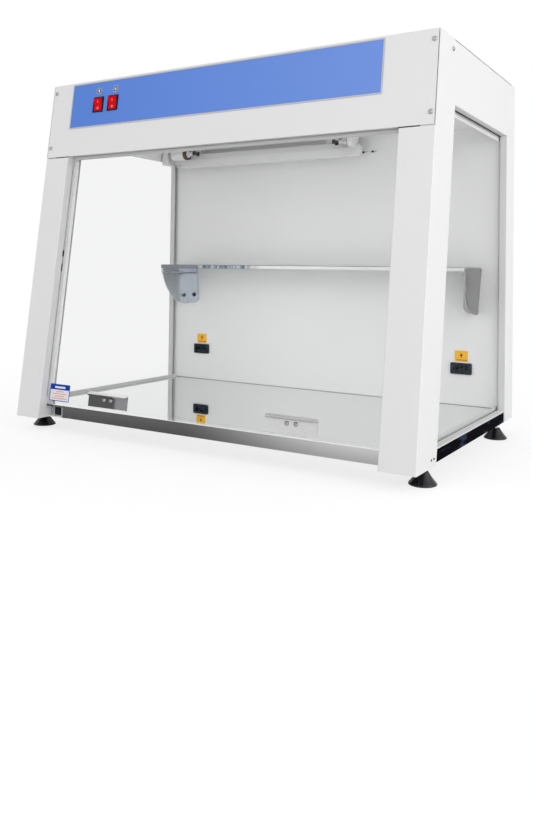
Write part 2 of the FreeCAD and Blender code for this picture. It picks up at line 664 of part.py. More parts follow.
def knuckle_spans(owner):
    """X ranges of the knuckles that belong to 0, the frame leaf, or 1, the top rail."""
    half = window_half()
    pitch = 2.0 * half / HINGE_KNUCKLES
    spans = []
    for index in range(owner, HINGE_KNUCKLES, 2):
        low = -half + index * pitch
        spans.append((low + SLIDE_GAP / 2.0, low + pitch - SLIDE_GAP / 2.0))
    return spans


def hinge_frame_leaf():
    """Leaf that rises in front of the ceiling's flange, with its own knuckles."""
    half = window_half()
    back = -HINGE_BARREL_RADIUS
    face = back + HINGE_GAUGE
    clear = HINGE_BARREL_RADIUS + SLIDE_GAP
    solids = [box((-half, half), (clear, HINGE_BARREL_RADIUS + HINGE_LEAF), (back, face))]
    for low, high in knuckle_spans(0):
        solids.append(rod(HINGE_BARREL_RADIUS, (low, 0, 0), (1, 0, 0), high - low))
        solids.append(box((low, high), (0, clear), (back, face)))
    bore = rod(HINGE_PIN_RADIUS, (-half, 0, 0), (1, 0, 0), 2.0 * half)
    return at(hinge_place(), joined(solids).cut(bore))


def window_top_rail():
    """Slotted rail along the window's upper edge, with the knuckles between the frame leaf's."""
    half = window_half()
    reach = HINGE_BARREL_RADIUS
    high = -HINGE_BARREL_RADIUS - SLIDE_GAP
    floor = high - TOP_RAIL_WEB
    slot_half = FRONT_PANE / 2.0
    solids = [box((-half, half), (floor - TOP_RAIL_GRIP, high), (-reach, reach))]
    for low, end in knuckle_spans(1):
        solids.append(rod(reach, (low, 0, 0), (1, 0, 0), end - low))
        solids.append(box((low, end), (high, 0), (-slot_half, slot_half)))
    slot = box((-half, half), (floor - TOP_RAIL_GRIP, floor), (-slot_half, slot_half))
    bore = rod(HINGE_PIN_RADIUS + PIVOT_CLEARANCE, (-half, 0, 0), (1, 0, 0), 2.0 * half)
    return at(hinge_place(), joined(solids).cut([slot, bore]))


def hinge_pin():
    """Hinge pin, fast in the frame leaf's knuckles."""
    half = window_half() - SLIDE_GAP
    return at(hinge_place(), rod(HINGE_PIN_RADIUS, (-half, 0, 0), (1, 0, 0), 2.0 * half))


# ---------------------------------------------------------------- pulls on the front window

def handle_place(side):
    """Pull's frame on the window's front face, at the middle of the pull's lower edge."""
    return on_front(side * (HALF - HANDLE_FROM_SIDE), BASE_Z + HANDLE_BOTTOM, FRONT_PANE_INSET)


def handle_screw_places():
    """Two screws through each pull, on its front face."""
    places = []
    for side in (-1, 1):
        for x in (-HANDLE_SCREW_PITCH / 2.0, HANDLE_SCREW_PITCH / 2.0):
            offset = Placement(Vector(x, HANDLE_HEIGHT * 0.55, SHEET), Rotation())
            places.append(handle_place(side).multiply(offset))
    return places


def handle(side):
    """Folded stainless pull: plate on the window and a lip that slopes down to the front."""
    half = HANDLE_WIDTH / 2.0
    drop = math.radians(HANDLE_LIP_DROP)
    top = HANDLE_HEIGHT
    tip = (top - HANDLE_LIP * math.sin(drop), HANDLE_LIP * math.cos(drop))
    under = (tip[0] - SHEET * math.cos(drop), tip[1] - SHEET * math.sin(drop))
    inner = top - SHEET * (1.0 + math.sin(drop)) / math.cos(drop)
    profile = [(-half, 0, 0), (-half, top, 0), (-half,) + tip, (-half,) + under, (-half, inner, SHEET),
               (-half, 0, SHEET)]
    pull = prism(profile, (HANDLE_WIDTH, 0, 0))
    corners = [edge for edge in pull.Edges
               if edge.CenterOfMass.z > under[1] and abs(edge.CenterOfMass.x) > half - 0.01
               and edge.Length < SHEET + 0.01]
    pull = pull.makeFillet(HANDLE_CORNER, corners)
    return drilled(at(handle_place(side), pull), handle_screw_places())


def handle_screws():
    """Round-headed screws through the pulls and the window."""
    length = SHEET + FRONT_PANE + NUT_HEIGHT
    return grouped([at(place, screw(shank=length)) for place in handle_screw_places()])


def handle_nuts():
    """Nuts behind the window."""
    behind = Placement(Vector(0, 0, -SHEET - FRONT_PANE - NUT_HEIGHT), Rotation())
    piece = nut(SCREW_SHANK_RADIUS, across_flats=7.0)
    return grouped([at(place.multiply(behind), piece) for place in handle_screw_places()])


# ---------------------------------------------------------------- shelf

def glass_shelf():
    """Plate glass with eased edges, resting on the brackets' ledges between their upstands."""
    half = BRACKET_X - SHELF_END_GAP
    rear = WALL_Y - CLEARANCE
    plate = box((-half, half), (rear - SHELF_DEPTH, rear), (SHELF_Z, SHELF_Z + SHELF_GLASS))
    eased = [edge for edge in plate.Edges if edge.Length > SHELF_GLASS + 1.0]
    return plate.makeChamfer(0.6, eased)


def bracket_place():
    """Right bracket's frame on the back wall, at the end and underside of the shelf."""
    return Placement(Vector(BRACKET_X, WALL_Y, SHELF_Z), Rotation())


def bracket_lean():
    """Turn that carries the gusset's foot towards the middle."""
    return Placement(Vector(0, 0, 0), Rotation(Vector(0, 1, 0), BRACKET_SPLAY))


def bracket_gusset():
    """Quarter-round plate with an upstand, joined to a round-cornered wall flange."""
    ledge_low = -LEDGE[1]
    tip = BRACKET_STEP - BRACKET_REACH
    top = SHELF_GLASS - UPSTAND_DROP
    diagonal = math.sqrt(0.5)
    middle = Vector(0, tip * diagonal, ledge_low - (BRACKET_DROP + ledge_low) * diagonal)
    corners = [Vector(0, tip, ledge_low), Vector(0, -BRACKET_REACH, ledge_low),
               Vector(0, -BRACKET_REACH, top), Vector(0, 0, top), Vector(0, 0, -BRACKET_DROP)]
    edges = [Part.LineSegment(a, b).toShape() for a, b in zip(corners, corners[1:])]
    edges.append(Part.Arc(corners[-1], middle, corners[0]).toShape())
    web = Part.Face(Part.Wire(edges)).extrude(Vector(BRACKET_GAUGE, 0, 0))
    flange = box((-BRACKET_FLANGE, BRACKET_GAUGE), (-BRACKET_GAUGE, 0), (-BRACKET_DROP, top))
    low_edges = [edge for edge in flange.Edges if edge.CenterOfMass.x < -BRACKET_FLANGE + 0.01
                 and edge.CenterOfMass.z < -BRACKET_DROP + 0.01]
    flange = flange.makeFillet(BRACKET_FLANGE / 2.0, low_edges)
    return web.fuse(flange)


def ledge_bar(length):
    """Bar along Y from the origin towards the front, with a bevel under its free side."""
    width, height, bevel = LEDGE
    outline = [(0, 0, 0), (-width, 0, 0), (-width, 0, bevel - height), (bevel - width, 0, -height),
               (0, 0, -height)]
    return prism(outline, (0, -length, 0))


def shelf_bracket():
    """Right bracket: leaning gusset and level ledge bars under the shelf's end and rear edge."""
    above = box((-2.0 * BRACKET_FLANGE, 0), (-BRACKET_REACH, 0), (0, BRACKET_DROP))
    gusset = at(bracket_lean(), bracket_gusset()).cut(above)
    side_bar = ledge_bar(BRACKET_REACH)
    turn = Placement(Vector(0, -BRACKET_GAUGE, 0), Rotation(Vector(0, 0, 1), -90.0))
    rear_bar = at(turn, ledge_bar(BRACKET_FLANGE).mirror(Vector(0, 0, 0), Vector(1, 0, 0)))
    bracket = at(bracket_place(), joined([gusset, side_bar, rear_bar]))
    return drilled(bracket, bracket_screw_places()[:1])


def bracket_screw_places():
    """One screw through each bracket's wall flange, the right one first."""
    from_edge, from_foot = BRACKET_SCREW_INSET
    corner = Vector(from_edge - BRACKET_FLANGE, -BRACKET_GAUGE, from_foot - BRACKET_DROP)
    point = bracket_place().multVec(bracket_lean().multVec(corner))
    return [facing((side * point.x, point.y, point.z), (0, -1, 0)) for side in (1, -1)]


def bracket_screws():
    """Screws that hold the brackets to the back wall."""
    return grouped([at(place, screw(BRACKET_SCREW_RADIUS)) for place in bracket_screw_places()])


# ---------------------------------------------------------------- control panel

def switch_place(name):
    """Switch frame on the overlay's face."""
    z = LABEL_Z + LABEL_HEIGHT - SWITCH_DROP
    return on_front(LABEL_LEFT + SWITCH_FROM_LEFT[name], z, -LABEL_GAUGE)


def switch_cutouts(clearance):
    """Bodies of the two switches, a little enlarged."""
    width, height, depth = SWITCH_BODY
    body = centred(width + 2.0 * clearance, height + 2.0 * clearance, -depth, SHEET)
    return [at(switch_place(name), body) for name in SWITCH_FROM_LEFT]


def control_panel_label():
    """Thin overlay with rounded corners, cut out for the two switches."""
    height = slope_length(LABEL_HEIGHT)
    sheet = box((LABEL_LEFT, LABEL_RIGHT), (0, height), (0, LABEL_GAUGE))
    upright = [edge for edge in sheet.Edges if edge.Length < LABEL_GAUGE + 0.01]
    sheet = at(on_front(0, LABEL_Z), sheet.makeFillet(LABEL_CORNER, upright))
    return sheet.cut(switch_cutouts(BORE_CLEARANCE))


def switch_housing(name):
    """Bezel and body with a pocket for the rocker and holes for its pivot."""
    width, height, rise = BEZEL
    bezel = centred(width, height, 0, rise)
    outer = [edge for edge in bezel.Edges if abs(edge.CenterOfMass.z - rise) < 0.01]
    bezel = bezel.makeChamfer(rise * 0.4, outer)
    body = centred(SWITCH_BODY[0], SWITCH_BODY[1], -SWITCH_BODY[2], 0)
    pocket_width = ROCKER_WIDTH + 2.0 * ROCKER_GAP
    pocket_height = 2.0 * (ROCKER_RADIUS + SLIDE_GAP)
    pocket = centred(pocket_width, pocket_height, -ROCKER_PIVOT_DEPTH - ROCKER_RADIUS - 1.0, rise)
    pivot_radius = ROCKER_PIVOT_RADIUS + PIVOT_CLEARANCE
    pivot = rod(pivot_radius, (-pivot_reach(), 0, -ROCKER_PIVOT_DEPTH), (1, 0, 0), 2.0 * pivot_reach())
    thick, wide, length = TERMINAL
    blade = centred(thick, wide, -SWITCH_BODY[2] - length, -SWITCH_BODY[2])
    terminals = []
    for x in (-TERMINAL_GRID[0] / 2.0, TERMINAL_GRID[0] / 2.0):
        for y in (-TERMINAL_GRID[1] / 2.0, TERMINAL_GRID[1] / 2.0):
            terminals.append(at(Placement(Vector(x, y, 0), Rotation()), blade))
    return at(switch_place(name), joined([bezel, body] + terminals).cut([pocket, pivot]))


def pivot_reach():
    """Half the length of a rocker's pivot hole."""
    return SWITCH_BODY[0] / 2.0 - ROCKER_GAP


def rocker(name):
    """Rocker with turned ends and a shallow valley across its face, in its off position."""
    half_throw = math.radians(ROCKER_THROW / 2.0)
    valley = ROCKER_PIVOT_DEPTH + ROCKER_DISH
    root = -ROCKER_RADIUS * 0.4
    rise = ROCKER_RADIUS * math.tan(half_throw)
    outline = [
        (-ROCKER_WIDTH / 2.0, -ROCKER_RADIUS, root),
        (-ROCKER_WIDTH / 2.0, -ROCKER_RADIUS, valley + rise),
        (-ROCKER_WIDTH / 2.0, 0, valley),
        (-ROCKER_WIDTH / 2.0, ROCKER_RADIUS, valley + rise),
        (-ROCKER_WIDTH / 2.0, ROCKER_RADIUS, root),
    ]
    drum = rod(ROCKER_RADIUS, (-ROCKER_WIDTH / 2.0, 0, 0), (1, 0, 0), ROCKER_WIDTH)
    key = prism(outline, (ROCKER_WIDTH, 0, 0)).common(drum)
    reach = pivot_reach() - SLIDE_GAP
    pin = rod(ROCKER_PIVOT_RADIUS, (-reach, 0, 0), (1, 0, 0), 2.0 * reach)
    piece = joined([key, pin])
    off = Placement(Vector(0, 0, -ROCKER_PIVOT_DEPTH), Rotation(Vector(1, 0, 0), ROCKER_THROW / 2.0))
    return at(switch_place(name).multiply(off), piece)


# ---------------------------------------------------------------- lamps

def lamp_tube(y):
    """T8 tube with its caps and pins, axis along X."""
    z = LAMP_Z
    glass = rod(TUBE_RADIUS - 0.4, (LAMP_LEFT + TUBE_CAP, y, z), (1, 0, 0), TUBE_LENGTH - 2.0 * TUBE_CAP)
    pieces = [glass]
    for start in (LAMP_LEFT, LAMP_LEFT + TUBE_LENGTH - TUBE_CAP):
        pieces.append(rod(TUBE_RADIUS, (start, y, z), (1, 0, 0), TUBE_CAP))
    for start in (LAMP_LEFT - TUBE_PIN_LENGTH, LAMP_LEFT + TUBE_LENGTH):
        for offset in (-TUBE_PIN_PITCH / 2.0, TUBE_PIN_PITCH / 2.0):
            pieces.append(rod(TUBE_PIN_RADIUS, (start, y, z + offset), (1, 0, 0), TUBE_PIN_LENGTH))
    return joined(pieces)


def lampholder(y, end):
    """Holder with a slot for the tube's pins, hung from the ceiling against the wireway."""
    z = LAMP_Z
    low = LAMP_LEFT - CLEARANCE / 2.0 - HOLDER_THICKNESS
    if end > 0:
        low = LAMP_LEFT + TUBE_LENGTH + CLEARANCE / 2.0
    span = (low, low + HOLDER_THICKNESS)
    half = HOLDER_WIDTH / 2.0
    block = box(span, (y - half, y + LAMP_BODY_SETBACK), (z - 1.0, CEILING_Z))
    nose = rod(half, (low, y, z - 1.0), (1, 0, 0), HOLDER_THICKNESS)
    slot_half = TUBE_PIN_RADIUS + 0.3
    reach = TUBE_PIN_PITCH / 2.0 + slot_half
    slot = box(span, (y - slot_half, y + slot_half), (z - reach, z + reach))
    face = low + HOLDER_THICKNESS - TUBE_PIN_LENGTH - 1.0 if end < 0 else low
    depth = box((face, face + TUBE_PIN_LENGTH + 1.0), (y - half, y + half), (z - half, z + half))
    return joined([block, nose]).cut(slot.common(depth))


def lamp_body(y):
    """Round-ended wireway behind the tube, hung from the ceiling on two saddles."""
    low = CEILING_Z - LAMP_BODY_DROP
    radius = LAMP_BODY_HEIGHT / 2.0
    left = LAMP_LEFT - LAMP_BODY_OVERHANG
    right = LAMP_LEFT + TUBE_LENGTH + HOLDER_THICKNESS + CLEARANCE
    front = y + LAMP_BODY_SETBACK
    rear = front + LAMP_BODY_DEPTH
    middle = box((left + radius, right - radius), (front, rear), (low, low + LAMP_BODY_HEIGHT))
    ends = [rod(radius, (x, front, low + radius), (0, 1, 0), LAMP_BODY_DEPTH)
            for x in (left + radius, right - radius)]
    width, depth = SADDLE
    y = front + LAMP_BODY_DEPTH / 2.0
    saddles = []
    for x in (left + SADDLE_INSET, right - SADDLE_INSET):
        saddles.append(box((x - width / 2.0, x + width / 2.0), (y - depth / 2.0, y + depth / 2.0),
                           (low + LAMP_BODY_HEIGHT - CLEARANCE, CEILING_Z)))
    return joined([middle] + ends + saddles)


def uv_end_box():
    """Junction box at the UV lamp's left end, hung from the ceiling."""
    width, depth, height = END_BOX
    right = LAMP_LEFT - LAMP_BODY_OVERHANG - CLEARANCE
    front = WALL_Y - UV_TUBE_SETBACK - END_BOX_LEAD
    shell = box((right - width, right), (front, front + depth), (CEILING_Z - height, CEILING_Z))
    rounded = [edge for edge in shell.Edges if edge.CenterOfMass.z < CEILING_Z - 0.01
               and edge.CenterOfMass.x < right - 0.01 and edge.CenterOfMass.y < front + depth - 0.01]
    return shell.makeFillet(END_BOX_CORNER, rounded)


def ballast(y):
    """Ballast on top of the ceiling, with a slotted tab at each end."""
    width, depth, height = BALLAST
    z = CEILING_Z + SHEET
    case = box((-width / 2.0, width / 2.0), (y - depth / 2.0, y + depth / 2.0), (z, z + height))
    tab = box((-width / 2.0 - BALLAST_TAB, width / 2.0 + BALLAST_TAB), (y - depth / 2.0, y + depth / 2.0),
              (z, z + SHEET))
    slots = []
    for side in (-1, 1):
        slot = centred(BALLAST_SLOT[0], BALLAST_SLOT[1], 0, SHEET)
        slots.append(at(Placement(Vector(side * (width + BALLAST_TAB) / 2.0, y, z), Rotation()), slot))
    return joined([case, tab]).cut(slots)


def terminal_block():
    """Screw terminal strip on the ceiling, left of the ballasts."""
    width, depth, height = TERMINAL_BLOCK
    x = TERMINAL_FROM_SIDE - SKIN_X
    y = WALL_Y - TERMINAL_FROM_WALL
    z = CEILING_Z + SHEET
    strip = box((x, x + width), (y, y + depth), (z, z + height))
    pitch = width / TERMINAL_COUNT
    wells = []
    for index in range(TERMINAL_COUNT):
        middle = x + pitch * (index + 0.5)
        wells.append(box((middle - pitch * 0.3, middle + pitch * 0.3), (y + depth * 0.3, y + depth * 0.7),
                         (z + height * 0.55, z + height)))
    return strip.cut(wells)


# ---------------------------------------------------------------- outlets and inlet

def outlet_place(x):
    """Outlet frame on the back wall: X along the width, Y up, Z into the chamber."""
    turn = Rotation(Vector(1, 0, 0), 90.0)
    return Placement(Vector(x, WALL_Y, BASE_Z + OUTLET_RISE), turn)


def outlet(x):
    """Flush three-hole socket: rounded plate, shallow six-sided recess and a body behind the wall."""
    width, height, rise = OUTLET
    plate = centred(width, height, 0, rise)
    upright = [edge for edge in plate.Edges if abs(edge.Length - rise) < 0.01]
    plate = plate.makeFillet(2.5, upright)
    body = centred(OUTLET_BODY[0], OUTLET_BODY[1], -OUTLET_BODY[2], 0)
    half = OUTLET_PIN_PITCH / 2.0 + 3.0 * OUTLET_PIN_RADIUS
    tall = OUTLET_BODY[1] / 2.0 - 3.0
    slant = tall * 0.7
    floor = rise - OUTLET_RECESS
    outline = [(-half, 0, floor), (slant - half, -tall, floor), (half - slant, -tall, floor),
               (half, 0, floor), (half - slant, tall, floor), (slant - half, tall, floor)]
    recess = prism(outline, (0, 0, OUTLET_RECESS))
    pitch = OUTLET_PIN_PITCH / 2.0
    bottom = rise - OUTLET_BODY[2]
    holes = [rod(OUTLET_PIN_RADIUS, (px, py, bottom), (0, 0, 1), OUTLET_BODY[2])
             for px, py in ((-pitch, 0), (0, OUTLET_EARTH_LIFT), (pitch, 0))]
    return at(outlet_place(x), joined([plate, body]).cut([recess] + holes))


def outlet_label(x):
    """Plain field above an outlet."""
    width, height, gauge = OUTLET_LABEL
    sheet = centred(width, height, 0, gauge)
    lift = OUTLET[1] / 2.0 + OUTLET_LABEL_GAP + height / 2.0
    return at(outlet_place(x).multiply(Placement(Vector(0, lift, 0), Rotation())), sheet)


def cable_clips():
    """Clips on the back wall, just under the ceiling's rear flange."""
    width, depth, height = CLIP
    top = CEILING_Z - CEILING_FLANGE - CLEARANCE
    clips = []
    for offset in CLIPS_FROM_LEFT:
        x = offset - CHAMBER_X
        clips.append(box((x - width / 2.0, x + width / 2.0), (WALL_Y - depth, WALL_Y), (top - height, top)))
    return grouped(clips)


def inlet_place():
    """Inlet frame on the rear cover: Y up, Z out to the back."""
    turn = Rotation(Vector(0, 0, 1), 180.0).multiply(Rotation(Vector(1, 0, 0), 90.0))
    return Placement(Vector(INLET_FROM_SIDE - HALF, REAR, BASE_Z + INLET_RISE), turn)


def power_inlet():
    """Mains inlet: eared flange, body, recess and three blades."""
    width, height, gauge = INLET
    flange = centred(width, height, 0, gauge)
    upright = [edge for edge in flange.Edges if abs(edge.Length - gauge) < 0.01]
    flange = flange.makeFillet(5.0, upright)
    body = centred(INLET_BODY[0], INLET_BODY[1], -INLET_BODY[2], 0)
    recess = centred(INLET_RECESS[0], INLET_RECESS[1], gauge - INLET_RECESS[2], gauge)
    corners = [edge for edge in recess.Edges if abs(edge.Length - INLET_RECESS[2]) < 0.01
               and edge.CenterOfMass.y > 0]
    recess = recess.makeChamfer(4.0, corners)
    blades = []
    floor = gauge - INLET_RECESS[2]
    thick, tall, length = INLET_BLADE
    for step, lift in ((-1, -2.0), (0, 2.0), (1, -2.0)):
        x = step * INLET_BLADE_PITCH
        blades.append(box((x - thick / 2.0, x + thick / 2.0), (lift - tall / 2.0, lift + tall / 2.0),
                          (floor - 1.0, floor - 1.0 + length)))
    return at(inlet_place(), joined([joined([flange, body]).cut(recess)] + blades))


# ---------------------------------------------------------------- feet

def foot_positions():
    """Centres of the four feet, under the middle of the side rails."""
    x = SKIN_X - RAIL_WIDTH / 2.0
    return [(side * x, y) for y in FOOT_Y.values() for side in (-1, 1)]


def foot_pad(x, y):
    """Moulded conical pad, bored for its stud."""
    pad = turned([
        line((0, 0), (FOOT_RADIUS, 0)),
        line((FOOT_RADIUS, 0), (FOOT_RADIUS, FOOT_RIM)),
        line((FOOT_RADIUS, FOOT_RIM), (FOOT_NECK_RADIUS, FOOT_HEIGHT)),
        line((FOOT_NECK_RADIUS, FOOT_HEIGHT), (0, FOOT_HEIGHT)),
        line((0, FOOT_HEIGHT), (0, 0)),
    ])
    pad = pad.cut(Part.makeCylinder(STUD_RADIUS, FOOT_HEIGHT, Vector(0, 0, STUD_SEAT)))
    return at(Placement(Vector(x, y, 0), Rotation()), pad)


def foot_stud(x, y):
    """Threaded stud, fast in its pad."""
    return rod(STUD_RADIUS, (x, y, STUD_SEAT), (0, 0, 1), STUD_TOP - STUD_SEAT)


def foot_nuts():
    """A lock nut under each rail and a weld nut on its lower flange."""
    nuts = []
    piece = nut(STUD_RADIUS + PIVOT_CLEARANCE)
    for x, y in foot_positions():
        for z in (RAIL_Z - NUT_HEIGHT, RAIL_Z + RAIL_WALL):
            place = Placement(Vector(x, y, z), Rotation())
            nuts.append(at(place, piece))
    return grouped(nuts)


# ---------------------------------------------------------------- the whole cabinet

def build():
    """Every sub-part by node name."""
    right_panel = side_panel()
    right_window = side_window()
    nodes = {
        "left_side_panel": mirrored(right_panel),
        "right_side_panel": right_panel,
        "header_front_cover": header_front_cover(),
        "top_cover": top_cover(),
        "ceiling_panel": ceiling_panel(),
        "rear_inner_wall": rear_inner_wall(),
        "rear_cover": rear_cover(),
        "base_frame": base_frame(),
        "work_tray": work_tray(),
        "panel_screws": panel_screws(),
        "left_side_window": mirrored(right_window),
        "right_side_window": right_window,
        "front_window": front_window(),
        "window_seals": window_seals(),
        "window_sticker": window_sticker(),
        "handle_screws": handle_screws(),
        "handle_nuts": handle_nuts(),
        "glass_shelf": glass_shelf(),
        "bracket_screws": bracket_screws(),
        "control_panel_label": control_panel_label(),
        "uv_end_box": uv_end_box(),
        "terminal_block": terminal_block(),
        "power_inlet": power_inlet(),
        "foot_nuts": foot_nuts(),
        "cable_clips": cable_clips(),
        "hinge_frame_leaf": hinge_frame_leaf(),
        "hinge_pin": hinge_pin(),
        "window_top_rail": window_top_rail(),
        "left_shelf_bracket": mirrored(shelf_bracket()),
        "right_shelf_bracket": shelf_bracket(),
    }
    for word, side in (("left", -1), ("right", 1)):
        nodes[word + "_handle"] = handle(side)
    for word, x in zip(("left", "right"), OUTLET_X):
        nodes[word + "_outlet"] = outlet(x)
        nodes[word + "_outlet_label"] = outlet_label(x)
    for name in SWITCH_FROM_LEFT:
        nodes[name + "_switch_housing"] = switch_housing(name)
        nodes[name + "_rocker"] = rocker(name)
    for name, y in (("uv", WALL_Y - UV_TUBE_SETBACK), ("white", FRONT + WHITE_TUBE_Y)):
        nodes[name + "_lamp_tube"] = lamp_tube(y)
        nodes[name + "_lamp_body"] = lamp_body(y)
        nodes[name + "_lampholder_left"] = lampholder(y, -1)
        nodes[name + "_lampholder_right"] = lampholder(y, 1)
        nodes[name + "_ballast"] = ballast(y)
    corners = [end + side for end in FOOT_Y for side in ("_left", "_right")]
    for word, (x, y) in zip(corners, foot_positions()):
        nodes[word + "_foot_pad"] = foot_pad(x, y)
        nodes[word + "_foot_stud"] = foot_stud(x, y)
    return nodes


def main():
    """Write one STEP file for each node."""
    os.makedirs("parts", exist_ok=True)
    for name, shape in build().items():
        shape.exportStep("parts/" + name + ".step")


main()
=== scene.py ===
"""Looks of the still-air bench workstation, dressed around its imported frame.

Every piece sits at the origin with its place in its mesh, in metres: X along the width, Y from
front to back and Z up. Sub-assemblies hold their sizes in millimetres; finishes, roundings of
edges and the studio are in metres.
"""
from __future__ import annotations

import json
import logging
import math
from dataclasses import dataclass, field
from enum import Enum
from typing import Callable, Sequence

import bmesh
import bpy
from mathutils import Matrix, Vector

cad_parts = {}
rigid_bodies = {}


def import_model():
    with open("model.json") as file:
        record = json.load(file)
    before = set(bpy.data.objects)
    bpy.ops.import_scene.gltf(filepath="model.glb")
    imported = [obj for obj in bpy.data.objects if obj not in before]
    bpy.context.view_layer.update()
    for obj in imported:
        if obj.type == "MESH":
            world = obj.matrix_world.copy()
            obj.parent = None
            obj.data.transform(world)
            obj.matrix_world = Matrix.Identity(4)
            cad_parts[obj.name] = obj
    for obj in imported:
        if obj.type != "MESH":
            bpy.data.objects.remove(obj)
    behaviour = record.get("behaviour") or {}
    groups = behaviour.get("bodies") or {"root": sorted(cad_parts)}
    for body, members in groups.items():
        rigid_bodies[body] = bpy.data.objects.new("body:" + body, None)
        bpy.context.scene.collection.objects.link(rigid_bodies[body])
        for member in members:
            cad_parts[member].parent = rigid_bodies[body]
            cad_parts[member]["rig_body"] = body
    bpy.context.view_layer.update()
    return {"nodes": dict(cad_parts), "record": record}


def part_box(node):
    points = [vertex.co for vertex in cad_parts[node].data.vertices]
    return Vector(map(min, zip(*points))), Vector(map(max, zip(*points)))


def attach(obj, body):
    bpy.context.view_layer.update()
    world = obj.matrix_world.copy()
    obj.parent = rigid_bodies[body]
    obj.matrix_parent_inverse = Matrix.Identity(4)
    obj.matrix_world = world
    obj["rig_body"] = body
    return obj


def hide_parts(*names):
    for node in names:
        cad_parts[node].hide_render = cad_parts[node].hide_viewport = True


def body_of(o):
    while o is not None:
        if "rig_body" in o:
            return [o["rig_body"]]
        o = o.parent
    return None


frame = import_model()

log = logging.getLogger("workstation")

Triple = tuple[float, float, float]
Colour = Triple
Span = tuple[float, float]
Point = tuple[float, float]
Outline = list[Point]
Socket = bpy.types.NodeSocket
Ports = bpy.types.bpy_prop_collection

MM = 0.001
SIDES = {"left": -1, "right": 1}
AXIS_X = Vector((1, 0, 0))
AXIS_Y = Vector((0, 1, 0))
AXIS_Z = Vector((0, 0, 1))
CABINET_TOP = 670.0
FRONT_FOOT: Point = (-260.0, 25.0)
"""Depth and height of the front plane's lower edge."""
LEAN = math.atan(84.0 / (CABINET_TOP - FRONT_FOOT[1]))
"""Angle that the front leans back from upright."""
UP_SLOPE = Vector((0.0, math.sin(LEAN), math.cos(LEAN)))
OUTWARD = Vector((0.0, -math.cos(LEAN), math.sin(LEAN)))
HALF_WIDTH = 400.0
FOOT_X = 387.5
FOOT_Y = {"front": -200.0, "rear": 185.0}
SHARP = math.radians(30.0)
"""Angle between faces from which their edge counts as sharp."""
LEVEL = math.radians(1.0)
"""Angle between faces below which they count as one."""
MERGED = 1e-6
"""Distance below which points count as one, in metres."""
FACING = 0.95
"""Cosine from which a face of a pane counts as one of its two large ones."""


# ---------------------------------------------------------------- node graphs

class Graph:
    """Adds and links the nodes of one shader or geometry tree."""

    def __init__(self, tree: bpy.types.NodeTree) -> None:
        """Starts from the tree to fill."""
        self.tree = tree

    def feed(self, socket: Socket, value: object) -> None:
        """Links a socket to its source, or gives it a plain value.

        Args:
            socket: The input.
            value: Its source socket or its value.
        """
        if isinstance(value, Socket):
            self.tree.links.new(value, socket)
        else:
            socket.default_value = value

    def add(self, kind: str, values: dict | None = None, **settings: object) -> bpy.types.Node:
        """Adds a node.

        Args:
            kind: The node's type name.
            values: Values or source sockets by input name or index.
            **settings: Attributes of the node, set before its inputs.

        Returns:
            The new node.
        """
        node = self.tree.nodes.new(kind)
        for name, value in settings.items():
            setattr(node, name, value)
        for name, value in (values or {}).items():
            self.feed(node.inputs[name], value)
        return node

    def maths(self, operation: str, first: object, second: object) -> Socket:
        """Output of a Math node."""
        return self.add("ShaderNodeMath", {0: first, 1: second}, operation=operation).outputs[0]

    def scaled(self, place: Socket, by: object) -> Socket:
        """A vector times another."""
        return self.add("ShaderNodeVectorMath", {0: place, 1: by}, operation="MULTIPLY").outputs[0]

    def noise(self, place: Socket, scale: object, detail: float, distortion: float = 0.0) -> Socket:
        """Value of a noise texture."""
        return self.add("ShaderNodeTexNoise", {"Vector": place, "Scale": scale, "Detail": detail,
                                               "Distortion": distortion}).outputs["Fac"]

    def ramp(self, value: Socket, start: float, end: float, low: object = 0.0, high: object = 1.0,
             shape: str = "LINEAR") -> Socket:
        """Maps a span of a value onto another span, without leaving it."""
        return self.add("ShaderNodeMapRange", {"Value": value, "From Min": start, "From Max": end,
                                               "To Min": low, "To Max": high},
                        interpolation_type=shape).outputs[0]

    def mix(self, share: object, first: object, second: object, blend: str = "MIX") -> Socket:
        """Mixes two colours.

        Args:
            share: Share of the second.
            first: A colour or its socket.
            second: A colour or its socket.
            blend: Blend type.

        Returns:
            The mixed colour.
        """
        node = self.add("ShaderNodeMix", {"Factor": share}, data_type="RGBA", blend_type=blend)
        for label, value in (("A", first), ("B", second)):
            self.feed(node.inputs[label], (*value, 1.0) if isinstance(value, tuple) else value)
        return node.outputs["Result"]

    def place(self) -> Socket:
        """Object coordinates."""
        return self.add("ShaderNodeTexCoord").outputs["Object"]

    def axes(self) -> Ports:
        """Object coordinates, one socket for each axis."""
        return self.add("ShaderNodeSeparateXYZ", {0: self.place()}).outputs

    def bump(self, socket: Socket, height: Socket, relief: float) -> None:
        """Feeds a height into a shader's normal, with its relief in metres."""
        node = self.add("ShaderNodeBump", {"Height": height, "Distance": relief, "Strength": 1.0})
        self.feed(socket, node.outputs["Normal"])


